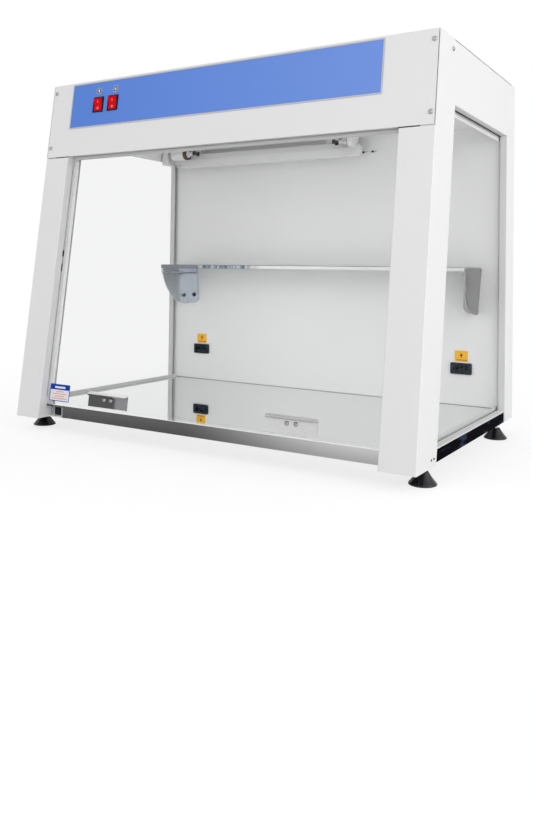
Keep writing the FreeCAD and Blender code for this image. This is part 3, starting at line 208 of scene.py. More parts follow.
def new_group(name: str, inputs: dict[str, object], *outputs: str) -> tuple[Graph, Ports, Ports]:
    """Makes a geometry group where an output is called Geometry, and a shader group otherwise.

    Args:
        name: The group's name.
        inputs: By name, the default of a number or else the type of its socket.
        *outputs: Names of its outputs: Geometry, or else numbers.

    Returns:
        The group's graph, the outputs of its Group Input and the inputs of its Group Output.
    """
    kind = "GeometryNodeTree" if "Geometry" in outputs else "ShaderNodeTree"
    tree = bpy.data.node_groups.new(name, kind)
    for label, value in inputs.items():
        typed = value if isinstance(value, str) else "Float"
        socket = tree.interface.new_socket(label, in_out="INPUT", socket_type="NodeSocket" + typed)
        if typed == "Float":
            socket.default_value = value
    for label in outputs:
        typed = label if label == "Geometry" else "Float"
        tree.interface.new_socket(label, in_out="OUTPUT", socket_type="NodeSocket" + typed)
    graph = Graph(tree)
    return graph, graph.add("NodeGroupInput").outputs, graph.add("NodeGroupOutput").inputs


# ---------------------------------------------------------------- shared surface effects

class Effect(Enum):
    """Effects that several finishes share, each a shader node group."""

    PEEL = "coat_peel"
    GRAIN = "rolled_grain"
    HANDLING = "handling_marks"


def peel_group() -> Graph:
    """Fine waviness of a powder coat or of moulded plastic.

    Returns:
        A group with Height for a bump and Shade, a slow drift of colour.
    """
    sockets = {"Vector": "Vector", "Scale": 900.0, "Drift": 0.02}
    graph, ports, end = new_group(Effect.PEEL.value, sockets, "Height", "Shade")
    centred = graph.maths("SUBTRACT", graph.noise(ports["Vector"], 5.0, 1.0), 0.5)
    drift = graph.maths("MULTIPLY", centred, ports["Drift"])
    graph.feed(end["Height"], graph.noise(ports["Vector"], ports["Scale"], 2.0))
    graph.feed(end["Shade"], graph.maths("ADD", drift, 1.0))
    return graph


def grain_group() -> Graph:
    """Rolling grain of sheet metal, drawn out along X of its Vector.

    Returns:
        A group with Height for a bump and Value between Low and High.
    """
    sockets = {"Vector": "Vector", "Scale": 1200.0, "Stretch": 0.03, "Low": 0.2, "High": 0.3}
    graph, ports, end = new_group(Effect.GRAIN.value, sockets, "Height", "Value")
    stretch = graph.add("ShaderNodeCombineXYZ", {"X": ports["Stretch"], "Y": 1.0, "Z": 1.0})
    noise = graph.noise(graph.scaled(ports["Vector"], stretch.outputs[0]), ports["Scale"], 3.0)
    graph.feed(end["Height"], noise)
    graph.feed(end["Value"], graph.ramp(noise, 0.3, 0.7, ports["Low"], ports["High"]))
    return graph


def handling_group() -> Graph:
    """Faint uneven wiping marks, as roughness.

    Returns:
        A group with Value between Low and High.
    """
    sockets = {"Vector": "Vector", "Scale": 12.0, "Low": 0.05, "High": 0.12}
    graph, ports, end = new_group(Effect.HANDLING.value, sockets, "Value")
    noise = graph.noise(ports["Vector"], ports["Scale"], 5.0, 0.6)
    graph.feed(end["Value"], graph.ramp(noise, 0.35, 0.7, ports["Low"], ports["High"]))
    return graph


EFFECT_MAKERS: dict[Effect, Callable[[], Graph]] = {
    Effect.PEEL: peel_group, Effect.GRAIN: grain_group, Effect.HANDLING: handling_group}


def effect(graph: Graph, which: Effect, **values: object) -> Ports:
    """Outputs of a shared effect, placed in a material and fed with Object coordinates."""
    tree = bpy.data.node_groups.get(which.value) or EFFECT_MAKERS[which]().tree
    return graph.add("ShaderNodeGroup", {"Vector": graph.place(), **values}, node_tree=tree).outputs


# ---------------------------------------------------------------- finishes

def grey(level: float) -> Colour:
    """Neutral colour."""
    return (level, level, level)


@dataclass(frozen=True)
class Finish:
    """A surface finish that becomes one material."""

    name: str
    colour: Colour
    slot: str
    roughness: float = 0.4
    metallic: float = 0.0
    coat: float = 0.0
    specular: float = 0.5
    ior: float | None = None

    def material(self) -> bpy.types.Material:
        """Gives the finish's material, made on first use.

        Returns:
            The material.
        """
        label = "finish_" + self.name
        made = bpy.data.materials.get(label)
        if made is None:
            made = bpy.data.materials.new(label)
            made.use_nodes = True
            made.diffuse_color = (*self.colour, 1.0)
            graph = Graph(made.node_tree)
            shader = made.node_tree.nodes["Principled BSDF"].inputs
            shader["Base Color"].default_value = (*self.colour, 1.0)
            shader["Roughness"].default_value = self.roughness
            shader["Metallic"].default_value = self.metallic
            shader["Coat Weight"].default_value = self.coat
            shader["Specular IOR Level"].default_value = self.specular
            if self.ior:
                shader["IOR"].default_value = self.ior
            self.detail(graph, shader)
            tone = self.tone(graph)
            if tone:
                graph.feed(shader["Base Color"], tone)
        return made

    def detail(self, graph: Graph, shader: Ports) -> None:
        """Adds the finish's own texture; a plain finish has faint handling marks."""
        marks = effect(graph, Effect.HANDLING, Low=self.roughness * 0.9, High=self.roughness * 1.15)
        graph.feed(shader["Roughness"], marks["Value"])

    def tone(self, graph: Graph) -> Socket | None:
        """Base colour that varies over the piece, if it does."""
        return None


@dataclass(frozen=True)
class Coated(Finish):
    """Powder coat, enamel or moulded plastic: fine waviness and a slow drift of shade."""

    peel_scale: float = 900.0
    peel_depth: float = 0.00001
    drift: float = 0.02

    def detail(self, graph: Graph, shader: Ports) -> None:
        """Adds the waviness as a bump, the drift of shade and handling marks.

        Args:
            graph: The material's graph.
            shader: The shader's inputs.
        """
        peel = effect(graph, Effect.PEEL, Scale=self.peel_scale, Drift=self.drift)
        graph.bump(shader["Normal"], peel["Height"], self.peel_depth)
        graph.feed(shader["Base Color"], graph.mix(1.0, self.colour, peel["Shade"], "MULTIPLY"))
        super().detail(graph, shader)


@dataclass(frozen=True)
class Sheet(Finish):
    """Bare metal with a drawn-out grain along the width."""

    grain_scale: float = 1200.0
    stretch: float = 0.03
    spread: float = 0.15
    relief: float = 0.000003
    anisotropic: float = 0.3

    def detail(self, graph: Graph, shader: Ports) -> None:
        """Adds the grain to the roughness and the normal.

        Args:
            graph: The material's graph.
            shader: The shader's inputs.
        """
        grain = effect(graph, Effect.GRAIN, Scale=self.grain_scale, Stretch=self.stretch,
                       Low=self.roughness * (1.0 - self.spread),
                       High=self.roughness * (1.0 + self.spread))
        graph.feed(shader["Roughness"], grain["Value"])
        shader["Anisotropic"].default_value = self.anisotropic
        graph.bump(shader["Normal"], grain["Height"], self.relief)


@dataclass(frozen=True)
class Clear(Finish):
    """Clean glass, quartz or acrylic."""

    def detail(self, graph: Graph, shader: Ports) -> None:
        """Adds full transmission."""
        shader["Transmission Weight"].default_value = 1.0


@dataclass(frozen=True)
class TraySteel(Sheet):
    """Bright rolled steel; its folded-down apron has a painted reflection of the dark room in front of it.
    """

    apron_top: float = 0.0498
    apron_rear: float = -0.2
    # Painted reflection on the apron: its tone at the left end and at the right end.
    apron_reflection_dark: Colour = grey(0.10)
    apron_reflection_pale: Colour = grey(0.455)
    apron_ends: Span = (-0.04, 0.31)
    apron_rise: Span = (0.028, 0.05)
    apron_fade: Span = (0.8, 1.2)

    def tone(self, graph: Graph) -> Socket:
        """Paints the reflection of the dark room onto the apron, darker towards the left and towards the
        bottom.

        Args:
            graph: The material's graph.

        Returns:
            The colour.
        """
        axes = graph.axes()
        apron = graph.maths("MULTIPLY", graph.maths("LESS_THAN", axes["Z"], self.apron_top),
                            graph.maths("LESS_THAN", axes["Y"], self.apron_rear))
        along = graph.ramp(axes["X"], *self.apron_ends, shape="SMOOTHSTEP")
        plain = graph.mix(along, self.apron_reflection_dark, self.apron_reflection_pale)
        fade = graph.ramp(axes["Z"], *self.apron_rise, *self.apron_fade)
        return graph.mix(apron, self.colour, graph.mix(1.0, plain, fade, "MULTIPLY"))


@dataclass(frozen=True)
class GlassEdge(Coated):
    """Ground glass edge: painted shade on top, a painted reflection over a bracket, then teal patches that
    fade out, the glass's own tint with painted reflections.
    """

    teal_reflection_dark: Colour = (0.14, 0.19, 0.23)
    teal_reflection_pale: Colour = (0.52, 0.57, 0.60)
    patch_pitch: float = 90.0
    patch_mask: Span = (0.45, 0.56)
    fade: Span = (-0.125, -0.085)
    # Painted reflection of the bracket, left of start.
    start: float = -0.246
    band: Colour = (0.24, 0.27, 0.32)
    # Painted shade along the top, above this height.
    top: float = 0.3168
    top_painted_shade: Colour = (0.20, 0.21, 0.22)

    def tone(self, graph: Graph) -> Socket:
        """Adds the painted reflections, their fade and the painted shade along the top.

        Args:
            graph: The material's graph.

        Returns:
            The colour.
        """
        axes = graph.axes()
        along = graph.maths("MULTIPLY", axes["X"], self.patch_pitch)
        noise = graph.add("ShaderNodeTexNoise", {"W": along, "Scale": 1.0, "Detail": 2.0},
                          noise_dimensions="1D")
        mask = graph.ramp(noise.outputs["Fac"], *self.patch_mask)
        patches = graph.mix(mask, self.teal_reflection_dark, self.teal_reflection_pale)
        faded = graph.mix(graph.ramp(axes["X"], *self.fade), patches, self.colour)
        banded = graph.mix(graph.maths("GREATER_THAN", axes["X"], self.start), self.band, faded)
        return graph.mix(graph.maths("GREATER_THAN", axes["Z"], self.top), banded, self.top_painted_shade)


@dataclass(frozen=True)
class SheenedFilm(Coated):
    """Printed film with a painted sheen: its colour pales along the width."""

    # Colour of the painted sheen at the far end of its reach.
    pale: Colour = grey(1.0)
    reach: Span = (-0.36, 0.34)

    def tone(self, graph: Graph) -> Socket:
        """Adds the painted sheen, a paler colour towards the right."""
        return graph.mix(graph.ramp(graph.axes()["X"], *self.reach), self.colour, self.pale)


@dataclass(frozen=True)
class PullSteel(Sheet):
    """Pull whose plate has a painted reflection of a darker room than its lip does, with a step along the
    width.
    """

    lip_height: float = 0.0795
    step: float = 0.0
    softness: float = 0.003
    # Painted reflections on the plate, left and right of the step.
    before: Colour = grey(0.1)
    after: Colour = grey(0.3)

    def tone(self, graph: Graph) -> Socket:
        """Gives the plate its two tones of painted reflection.

        Args:
            graph: The material's graph.

        Returns:
            The colour.
        """
        axes = graph.axes()
        along = graph.ramp(axes["X"], self.step - self.softness, self.step + self.softness)
        lip = graph.maths("GREATER_THAN", axes["Z"], self.lip_height)
        return graph.mix(lip, graph.mix(along, self.before, self.after), self.colour)


@dataclass(frozen=True)
class GlossEnamel(Coated):
    """Deep black enamel with bluish patches of painted reflection of the room, drawn out along the depth.
    """

    painted_reflection_tint: Colour = (0.035, 0.05, 0.085)
    pitch: Triple = (40.0, 14.0, 70.0)
    mask: Span = (0.54, 0.66)

    def tone(self, graph: Graph) -> Socket:
        """Adds the patches of painted reflection."""
        noise = graph.noise(graph.scaled(graph.place(), self.pitch), 1.0, 2.0)
        return graph.mix(graph.ramp(noise, *self.mask), self.colour, self.painted_reflection_tint)


POWDER_WHITE = Coated("powder_coat_white", (0.84, 0.84, 0.845), "painted_white", 0.45,
                      peel_depth=0.000002, drift=0.012)
# A lighter copy of the white coat for the chamber's wall and ceiling: painted light, since the panes keep
# the lamps out.
CHAMBER_WHITE = Coated("chamber_enamel_white", grey(0.885), "painted_white", 0.5,
                       peel_depth=0.000001, drift=0.012)
FRAME_ENAMEL = GlossEnamel("frame_enamel_black", (0.004, 0.004, 0.007), "frame_black", 0.25,
                           specular=0.06, ior=1.03)
TRAY_STEEL = TraySteel("tray_steel_bright", (0.815, 0.82, 0.825), "tray_stainless", 0.02, 1.0,
                       spread=0.5, relief=0.000001)
# The two pulls differ only in the painted reflection on their plates.
LEFT_PULL = PullSteel("pull_steel_left", grey(0.90), "satin_stainless", 0.28, 1.0,
                      step=-0.171, before=(0.085, 0.085, 0.088), after=(0.25, 0.25, 0.26))
RIGHT_PULL = PullSteel("pull_steel_right", grey(0.90), "satin_stainless", 0.28, 1.0,
                       step=0.19, before=grey(0.60), after=grey(0.60))
POLISHED_STEEL = Sheet("polished_steel", (0.74, 0.75, 0.77), "satin_stainless", 0.14, 1.0, spread=0.3)
# The right bracket is a darker copy of the bracket steel: painted shade.
BRACKET_SHADED = Sheet("bracket_steel_right", grey(0.37), "satin_stainless", 0.2, 1.0, spread=0.3)
BRACKET_STEEL = Sheet("bracket_steel", (0.52, 0.545, 0.58), "satin_stainless", 0.2, 1.0, spread=0.3)
NICKEL = Sheet("nickel_plate", grey(0.40), "zinc", 0.22, 1.0, stretch=1.0)
ZINC = Sheet("zinc_plate", (0.62, 0.62, 0.60), "zinc", 0.32, 1.0, stretch=1.0)
LAMP_CAP = Sheet("lamp_cap_metal", grey(0.60), "satin_stainless", 0.3, 1.0, stretch=1.0)
LAMP_CAP_BURNT = Sheet("lamp_cap_burnt", (0.13, 0.10, 0.08), "satin_stainless", 0.35, 1.0, stretch=1.0)
LAMP_WIRE = Sheet("lamp_wire", (0.10, 0.10, 0.11), "zinc", 0.3, 1.0, stretch=1.0)
WINDOW_CLEAR = Clear("window_acrylic", (0.949, 0.951, 0.951), "window_clear", 0.0, ior=1.02)
WINDOW_RIM = Coated("window_sawn_edge", (0.78, 0.79, 0.79), "window_clear", 0.35, drift=0.3)
SHELF_GLASS = Clear("shelf_plate_glass", (0.95, 0.965, 0.965), "shelf_glass", 0.0, ior=1.45)
SHELF_RIM = GlassEdge("shelf_ground_edge", grey(0.80), "shelf_glass", 0.2, specular=0.3)
TUBE_QUARTZ = Clear("tube_quartz", grey(0.99), "tube_clear", 0.0, ior=1.03)
SEAL_RUBBER = Coated("seal_rubber", grey(0.90), "seal_black", 0.7, specular=0.2)
PAD_PLASTIC = Coated("foot_pad_plastic", (0.010, 0.010, 0.012), "foot_black", 0.3, peel_scale=500.0,
                     specular=0.4)
# The blue overlay pales to the right: painted sheen.
OVERLAY_BLUE = SheenedFilm("overlay_blue", (0.105, 0.250, 0.755), "panel_blue", 0.33, peel_scale=1500.0,
                    specular=0.15, pale=(0.178, 0.320, 0.810))
OVERLAY_BEIGE = Coated("overlay_beige", (0.63, 0.60, 0.55), "panel_blue", 0.4, specular=0.2)
OVERLAY_NAVY = Coated("overlay_navy", (0.03, 0.03, 0.14), "panel_blue", 0.4, specular=0.1)
PRINT_BLUE = Coated("print_blue", (0.008, 0.05, 0.42), "label_white", 0.4, specular=0.05)
PRINT_RED = Coated("print_pale_red", (0.85, 0.30, 0.30), "label_white", 0.5, specular=0.1)
PRINT_DARK = Coated("print_dark", (0.06, 0.03, 0.01), "label_orange", 0.5, specular=0.05)
LABEL_ORANGE = Coated("label_orange_film", (1.00, 0.52, 0.048), "label_orange", 0.5, specular=0.05)
SILL_GREY = Coated("sill_grey", grey(0.62), "tray_stainless", 0.4, specular=0.3)
# Painted shade: near-black strips in gaps and openings, and a grey line along the panes' joints.
SEAM_DARK = Coated("seam_shadow", grey(0.03), "painted_white", 0.8, specular=0.05)
JOINT_GREY = Coated("joint_shadow", grey(0.36), "painted_white", 0.8, specular=0.05)
BEAD_GREY = Coated("joint_bead", grey(0.34), "tray_stainless", 0.6, specular=0.2)
LABEL_WHITE = Coated("label_white_film", (0.85, 0.85, 0.87), "label_white", 0.5)
BLACK_PLASTIC = Coated("moulded_black", (0.006, 0.010, 0.018), "plastic_black", 0.3, specular=0.1)
SOCKET_BLACK = Coated("socket_black", (0.021, 0.030, 0.040), "plastic_black", 0.35, specular=0.1)
ROCKER_RED = Coated("rocker_red_gloss", (0.78, 0.001, 0.005), "rocker_red", 0.25, specular=0.05)
ROCKER_MARK = Coated("rocker_mark", (0.90, 0.42, 0.42), "rocker_red", 0.4, specular=0.1)
WHITE_PLASTIC = Coated("moulded_white", (0.84, 0.84, 0.83), "plastic_white", 0.32)
TUBE_PHOSPHOR = Coated("tube_phosphor", (0.90, 0.90, 0.89), "tube_white", 0.12, coat=0.4)
BALLAST_GREY = Coated("ballast_case_grey", (0.42, 0.43, 0.44), "ballast_grey", 0.4)
BLACK_SCREW = Coated("blackened_screw", grey(0.02), "black_screws", 0.35)

FINISH_BY_SLOT = {finish.slot: finish for finish in (
    POWDER_WHITE, FRAME_ENAMEL, TRAY_STEEL, POLISHED_STEEL, ZINC, WINDOW_CLEAR, SHELF_GLASS, TUBE_QUARTZ,
    SEAL_RUBBER, PAD_PLASTIC, OVERLAY_BLUE, LABEL_ORANGE, LABEL_WHITE, BLACK_PLASTIC, ROCKER_RED,
    WHITE_PLASTIC, TUBE_PHOSPHOR, BALLAST_GREY, BLACK_SCREW)}
FINISH_BY_NODE = {
    "rear_inner_wall": CHAMBER_WHITE, "ceiling_panel": CHAMBER_WHITE, "left_outlet": SOCKET_BLACK,
    "right_outlet": SOCKET_BLACK, "left_shelf_bracket": BRACKET_STEEL,
    "right_shelf_bracket": BRACKET_SHADED, "left_handle": LEFT_PULL, "right_handle": RIGHT_PULL,
    "hinge_frame_leaf": POWDER_WHITE, "window_top_rail": POWDER_WHITE, "hinge_pin": POWDER_WHITE}
"""Nodes whose finish differs from the usual one of their slot."""


def node_finish(row: dict) -> Finish:
    """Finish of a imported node, by its name or else by its material slot."""
    return FINISH_BY_NODE.get(row["node"], FINISH_BY_SLOT[row["material_slot"]])


def dress_frame() -> None:
    """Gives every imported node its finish."""
    for row in frame["record"]["subparts"]:
        for slot in frame["nodes"][row["node"]].material_slots:
            slot.material = node_finish(row).material()


# ---------------------------------------------------------------- shapes

def disc(radius: float, steps: int = 32, centre: Point = (0.0, 0.0)) -> Outline:
    """Circle as an anticlockwise polygon."""
    turns = (2.0 * math.pi * step / steps for step in range(steps))
    return [(centre[0] + radius * math.cos(turn), centre[1] + radius * math.sin(turn)) for turn in turns]


def rounded(width: float, height: float, radius: float, centre: Point = (0.0, 0.0),
            steps: int = 5) -> Outline:
    """Rectangle with rounded corners, anticlockwise.

    Args:
        width: Its width.
        height: Its height.
        radius: Radius of its corners.
        centre: Its middle.
        steps: Edges round each corner.

    Returns:
        Its points.
    """
    points = []
    for corner, (side, rise) in enumerate(((1, 1), (-1, 1), (-1, -1), (1, -1))):
        x = centre[0] + side * (width / 2.0 - radius)
        y = centre[1] + rise * (height / 2.0 - radius)
        for step in range(steps + 1):
            turn = math.radians(90.0 * (corner + step / steps))
            points.append((x + radius * math.cos(turn), y + radius * math.sin(turn)))
    return points


def placed(origin: Sequence[float], across: Vector, up: Vector) -> Matrix:
    """Frame in millimetres with X along ``across``, Y along ``up`` and its origin in millimetres."""
    turn = Matrix((across, up, across.cross(up))).transposed().to_4x4()
    return Matrix.Translation(Vector(origin) * MM) @ turn @ Matrix.Scale(MM, 4)


def front_y(z: float) -> float:
    """Depth of the front plane at a height, in millimetres."""
    return FRONT_FOOT[0] + math.tan(LEAN) * (z - FRONT_FOOT[1])


def on_front(x: float, z: float, rise: float = 0.0) -> Matrix:
    """Frame on the leaning front or ``rise`` before it: Y up the slope, Z outwards."""
    return placed(Vector((x, front_y(z), z)) + OUTWARD * rise, AXIS_X, UP_SLOPE)


def on_side(side: int, x: float, y: float, z: float) -> Matrix:
    """Frame on a side's outer face, looking outwards."""
    return placed((side * x, y, z), AXIS_Y * side, AXIS_Z)


def facing_front(x: float, y: float, z: float) -> Matrix:
    """Frame on an upright face that looks to the front."""
    return placed((x, y, z), AXIS_X, AXIS_Z)


def standing(x: float, y: float, z: float) -> Matrix:
    """Frame with the object's own directions."""
    return placed((x, y, z), AXIS_X, AXIS_Y)


def along_width(x: float, y: float, z: float) -> Matrix:
    """Frame whose Z runs along the width."""
    return placed((x, y, z), AXIS_Y, AXIS_Z)


def linked(name: str, data: bpy.types.ID) -> bpy.types.Object:
    """Puts new data into the scene as an object.

    Args:
        name: The object's name.
        data: Its mesh, light or camera.

    Returns:
        The object.
    """
    made = bpy.data.objects.new(name, data)
    bpy.context.scene.collection.objects.link(made)
    return made


def applied(piece: bpy.types.Object) -> bpy.types.Mesh:
    """Applies an object's modifiers, which it then loses.

    Args:
        piece: The object.

    Returns:
        The resulting mesh.
    """
    graph = bpy.context.evaluated_depsgraph_get()
    result = bpy.data.meshes.new_from_object(piece.evaluated_get(graph))
    piece.modifiers.clear()
    return result


def carved(piece: bpy.types.Object, tool: bpy.types.Mesh) -> bpy.types.Mesh:
    """Cuts a tool's solid out of an object.

    Args:
        piece: The object.
        tool: Mesh of the tool, in the same frame.

    Returns:
        The mesh that is left.
    """
    cutter = linked(tool.name, tool)
    piece.modifiers.new("cut", "BOOLEAN").object = cutter
    result = applied(piece)
    bpy.data.objects.remove(cutter)
    return result


def settle(piece: bpy.types.Object, body: str, finish: Finish, *nodes: str) -> bpy.types.Object:
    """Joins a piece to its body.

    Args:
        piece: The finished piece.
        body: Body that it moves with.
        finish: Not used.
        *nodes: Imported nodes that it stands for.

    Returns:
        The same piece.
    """
    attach(piece, body)
    if nodes:
        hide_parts(*nodes)
    log.info("%s on %s", piece.name, body)
    return piece


def smoothed(mesh: bpy.types.Mesh) -> bpy.types.Mesh:
    """Shades a mesh smooth but for its sharp edges.

    Args:
        mesh: The mesh.

    Returns:
        The same mesh.
    """
    mesh.shade_smooth()
    mesh.set_sharp_from_angle(angle=SHARP)
    return mesh


def eased(mesh: bpy.types.Mesh, name: str, width: float) -> bpy.types.Object:
    """Makes an object of a mesh with its sharp edges rounded and its flat faces kept flat.

    Args:
        mesh: The mesh.
        name: Name of the object.
        width: Bevel in metres; none at zero.

    Returns:
        The object, with no modifier left.
    """
    piece = linked(name, smoothed(mesh))
    if width > 0.0:
        bevel = piece.modifiers.new("ease", "BEVEL")
        bevel.width = width
        bevel.segments = 2
        bevel.limit_method = "ANGLE"
        bevel.angle_limit = SHARP
        piece.modifiers.new("weigh", "WEIGHTED_NORMAL").keep_sharp = True
        piece.data = applied(piece)
    return piece


class Shaper:
    """Gathers the faces of one piece; every part is drawn in millimetres in a frame of its own."""

    def __init__(self, name: str, *finishes: Finish) -> None:
        """Starts an empty piece.

        Args:
            name: Name of the piece.
            *finishes: Its finishes; parts name them by number.
        """
        self.name = name
        self.finishes = finishes
        self.bm = bmesh.new()

    def row(self, place: Matrix, outline: Outline, height: float) -> list[bmesh.types.BMVert]:
        """Points of an outline at a height."""
        return [self.bm.verts.new(place @ Vector((x, y, height))) for x, y in outline]

    def skin(self, rows: list, finish: int, looped: bool = False, capped: bool = False) -> None:
        """Joins closed rows one to the next; a row of one point is a pole.

        Args:
            rows: Their points.
            finish: Number of the finish.
            looped: Whether the last row joins the first.
            capped: Whether both ends are closed.
        """
        faces = []
        for lower, upper in zip(rows, rows[1:] + (rows[:1] if looped else [])):
            count = max(len(lower), len(upper))
            for step in range(count):
                after = (step + 1) % count
                faces.append((lower[step % len(lower)], lower[after % len(lower)],
                              upper[after % len(upper)], upper[step % len(upper)]))
        if capped:
            faces += [rows[0][::-1], rows[-1]]
        for corners in faces:
            self.bm.faces.new(list(dict.fromkeys(corners))).material_index = finish

    def plate(self, place: Matrix, outline: Outline, low: float, high: float, finish: int = 0) -> None:
        """Solid over one outline."""
        self.skin([self.row(place, outline, height) for height in (low, high)], finish, capped=True)

    def ring(self, place: Matrix, outer: Outline, inner: Outline, low: float, high: float,
             finish: int = 0) -> None:
        """Plate with one opening; both outlines have as many points."""
        levels = ((outer, low), (outer, high), (inner, high), (inner, low))
        self.skin([self.row(place, *level) for level in levels], finish, looped=True)

    def lathe(self, place: Matrix, profile: Sequence[Point], finish: int = 0, steps: int = 40) -> None:
        """Turned shape about Z.

        Args:
            place: Its frame.
            profile: Radius and height of each corner, upwards along the outside.
            finish: Number of its finish.
            steps: Faces round it.
        """
        self.skin([self.row(place, disc(radius, steps) if radius > 0.0 else [(0.0, 0.0)], height)
                   for radius, height in profile], finish)

    def wire(self, place: Matrix, path: Sequence[Sequence[float]], radius: float, finish: int = 0,
             steps: int = 8) -> None:
        """Round wire with flat ends.

        Args:
            place: Its frame.
            path: Points along it.
            radius: Its radius.
            finish: Number of its finish.
            steps: Faces round it.
        """
        points = [Vector(point) for point in path]
        rows = []
        for number, point in enumerate(points):
            ahead = points[min(number + 1, len(points) - 1)] - points[max(number - 1, 0)]
            turn = Matrix.Translation(point) @ ahead.to_track_quat("Z", "Y").to_matrix().to_4x4()
            rows.append(self.row(place @ turn, disc(radius, steps), 0.0))
        self.skin(rows, finish, capped=True)

    def mesh(self) -> bpy.types.Mesh:
        """Turns the gathered faces into a mesh.

        Returns:
            The mesh, with its finishes.
        """
        made = bpy.data.meshes.new(self.name)
        self.bm.to_mesh(made)
        self.bm.free()
        for finish in self.finishes:
            made.materials.append(finish.material())
        return made

    def done(self, body: str, *nodes: str) -> bpy.types.Object:
        """The finished piece, on its body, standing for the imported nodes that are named."""
        return settle(eased(self.mesh(), self.name, 0.0), body, self.finishes[0], *nodes)


def thinned(shell: bmesh.types.BMesh, through: Vector, share: float = 0.03) -> None:
    """Draws a pane's two faces in, off whatever they are bonded to.

    Args:
        shell: The pane.
        through: Direction through it.
        share: Share of its thickness that is taken off.
    """
    depths = [vert.co.dot(through) for vert in shell.verts]
    middle = (min(depths) + max(depths)) / 2.0
    for vert, depth in zip(shell.verts, depths):
        vert.co -= through * ((depth - middle) * share)


def softened(name: str, width: float, rim: Finish | None = None,
             through: Vector = AXIS_Z) -> bpy.types.Object:
    """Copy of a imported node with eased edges, which stands for it.

    Args:
        name: The node.
        width: Rounding of its edges, in metres.
        rim: Finish of a pane's edges, where they differ from its faces.
        through: Direction through a pane.

    Returns:
        The piece.
    """
    source = frame["nodes"][name]
    shell = bmesh.new()
    shell.from_mesh(source.data)
    bmesh.ops.remove_doubles(shell, verts=shell.verts, dist=MERGED)
    bmesh.ops.dissolve_limit(shell, angle_limit=LEVEL, verts=shell.verts, edges=shell.edges)
    if rim:
        thinned(shell, through)
    mesh = bpy.data.meshes.new(name + "_eased")
    shell.to_mesh(mesh)
    shell.free()
    mesh.materials.clear()
    row = next(row for row in frame["record"]["subparts"] if row["node"] == name)
    finish = node_finish(row)
    mesh.materials.append(finish.material())
    piece = eased(mesh, name + "_eased", width)
    if rim:
        piece.data.materials.append(rim.material())
        for face in piece.data.polygons:
            face.material_index = int(abs(face.normal.dot(through)) < FACING)
    return settle(piece, body_of(source)[0], finish, name)


# ---------------------------------------------------------------- repeated parts

def planted(graph: Graph, ports: Ports, end: Ports, part: Socket, **turned: object
            ) -> bpy.types.NodeTree:
    """Ends a tree with a part on every point, in the tree's finish.

    Args:
        graph: The tree's graph.
        ports: Outputs of its Group Input.
        end: Inputs of its Group Output.
        part: The part.
        **turned: How it is turned and sized on its point.

    Returns:
        The tree.
    """
    spread = graph.add("GeometryNodeInstanceOnPoints", {"Points": ports["Geometry"],
                                                        "Instance": part, **turned})
    whole = graph.add("GeometryNodeRealizeInstances", {"Geometry": spread.outputs[0]})
    coated = graph.add("GeometryNodeSetMaterial", {"Geometry": whole.outputs[0],
                                                   "Material": ports["Finish"]})
    graph.feed(end["Geometry"], coated.outputs[0])
    return graph.tree


def fixing_tree() -> bpy.types.NodeTree:
    """Makes the tree that sets a part on every point, along its axis and spun at random.

    Returns:
        The tree.
    """
    sockets = {"Geometry": "Geometry", "Part": "Object", "Size": 1.0, "Finish": "Material",
               "Seed": "Int"}
    graph, ports, end = new_group("fixings", sockets, "Geometry")
    axis = graph.add("GeometryNodeInputNamedAttribute", {"Name": "axis"}, data_type="FLOAT_VECTOR")
    aligned = graph.add("FunctionNodeAlignRotationToVector", {"Vector": axis.outputs["Attribute"]},
                        axis="Z")
    spin = graph.add("FunctionNodeRandomValue", {2: 0.0, 3: 2.0 * math.pi, "Seed": ports["Seed"]},
                     data_type="FLOAT")
    turn = graph.add("FunctionNodeAxisAngleToRotation", {"Axis": (0.0, 0.0, 1.0),
                                                         "Angle": spin.outputs[1]})
    spun = graph.add("FunctionNodeRotateRotation", {"Rotation": aligned.outputs[0],
                                                    "Rotate By": turn.outputs[0]},
                     rotation_space="LOCAL")
    part = graph.add("GeometryNodeObjectInfo", {"Object": ports["Part"]})
    return planted(graph, ports, end, part.outputs["Geometry"], Rotation=spun.outputs[0],
                   Scale=ports["Size"])


def thread_tree() -> bpy.types.NodeTree:
    """Makes the tree that winds a screw thread upwards from every point.

    Returns:
        The tree.
    """
    sockets = {"Geometry": "Geometry", "Radius": 0.0038, "Pitch": 0.00125, "Length": 0.03,
               "Depth": 0.0006, "Finish": "Material"}
    graph, ports, end = new_group("thread", sockets, "Geometry")
    turns = graph.maths("DIVIDE", ports["Length"], ports["Pitch"])
    spiral = graph.add("GeometryNodeCurveSpiral", {
        "Resolution": 14, "Rotations": turns, "Start Radius": ports["Radius"],
        "End Radius": ports["Radius"], "Height": ports["Length"]})
    ridge = graph.add("GeometryNodeCurvePrimitiveCircle", {"Resolution": 3, "Radius": ports["Depth"]})
    wound = graph.add("GeometryNodeCurveToMesh", {
        "Curve": spiral.outputs[0], "Profile Curve": ridge.outputs[0], "Fill Caps": True})
    return planted(graph, ports, end, wound.outputs[0])


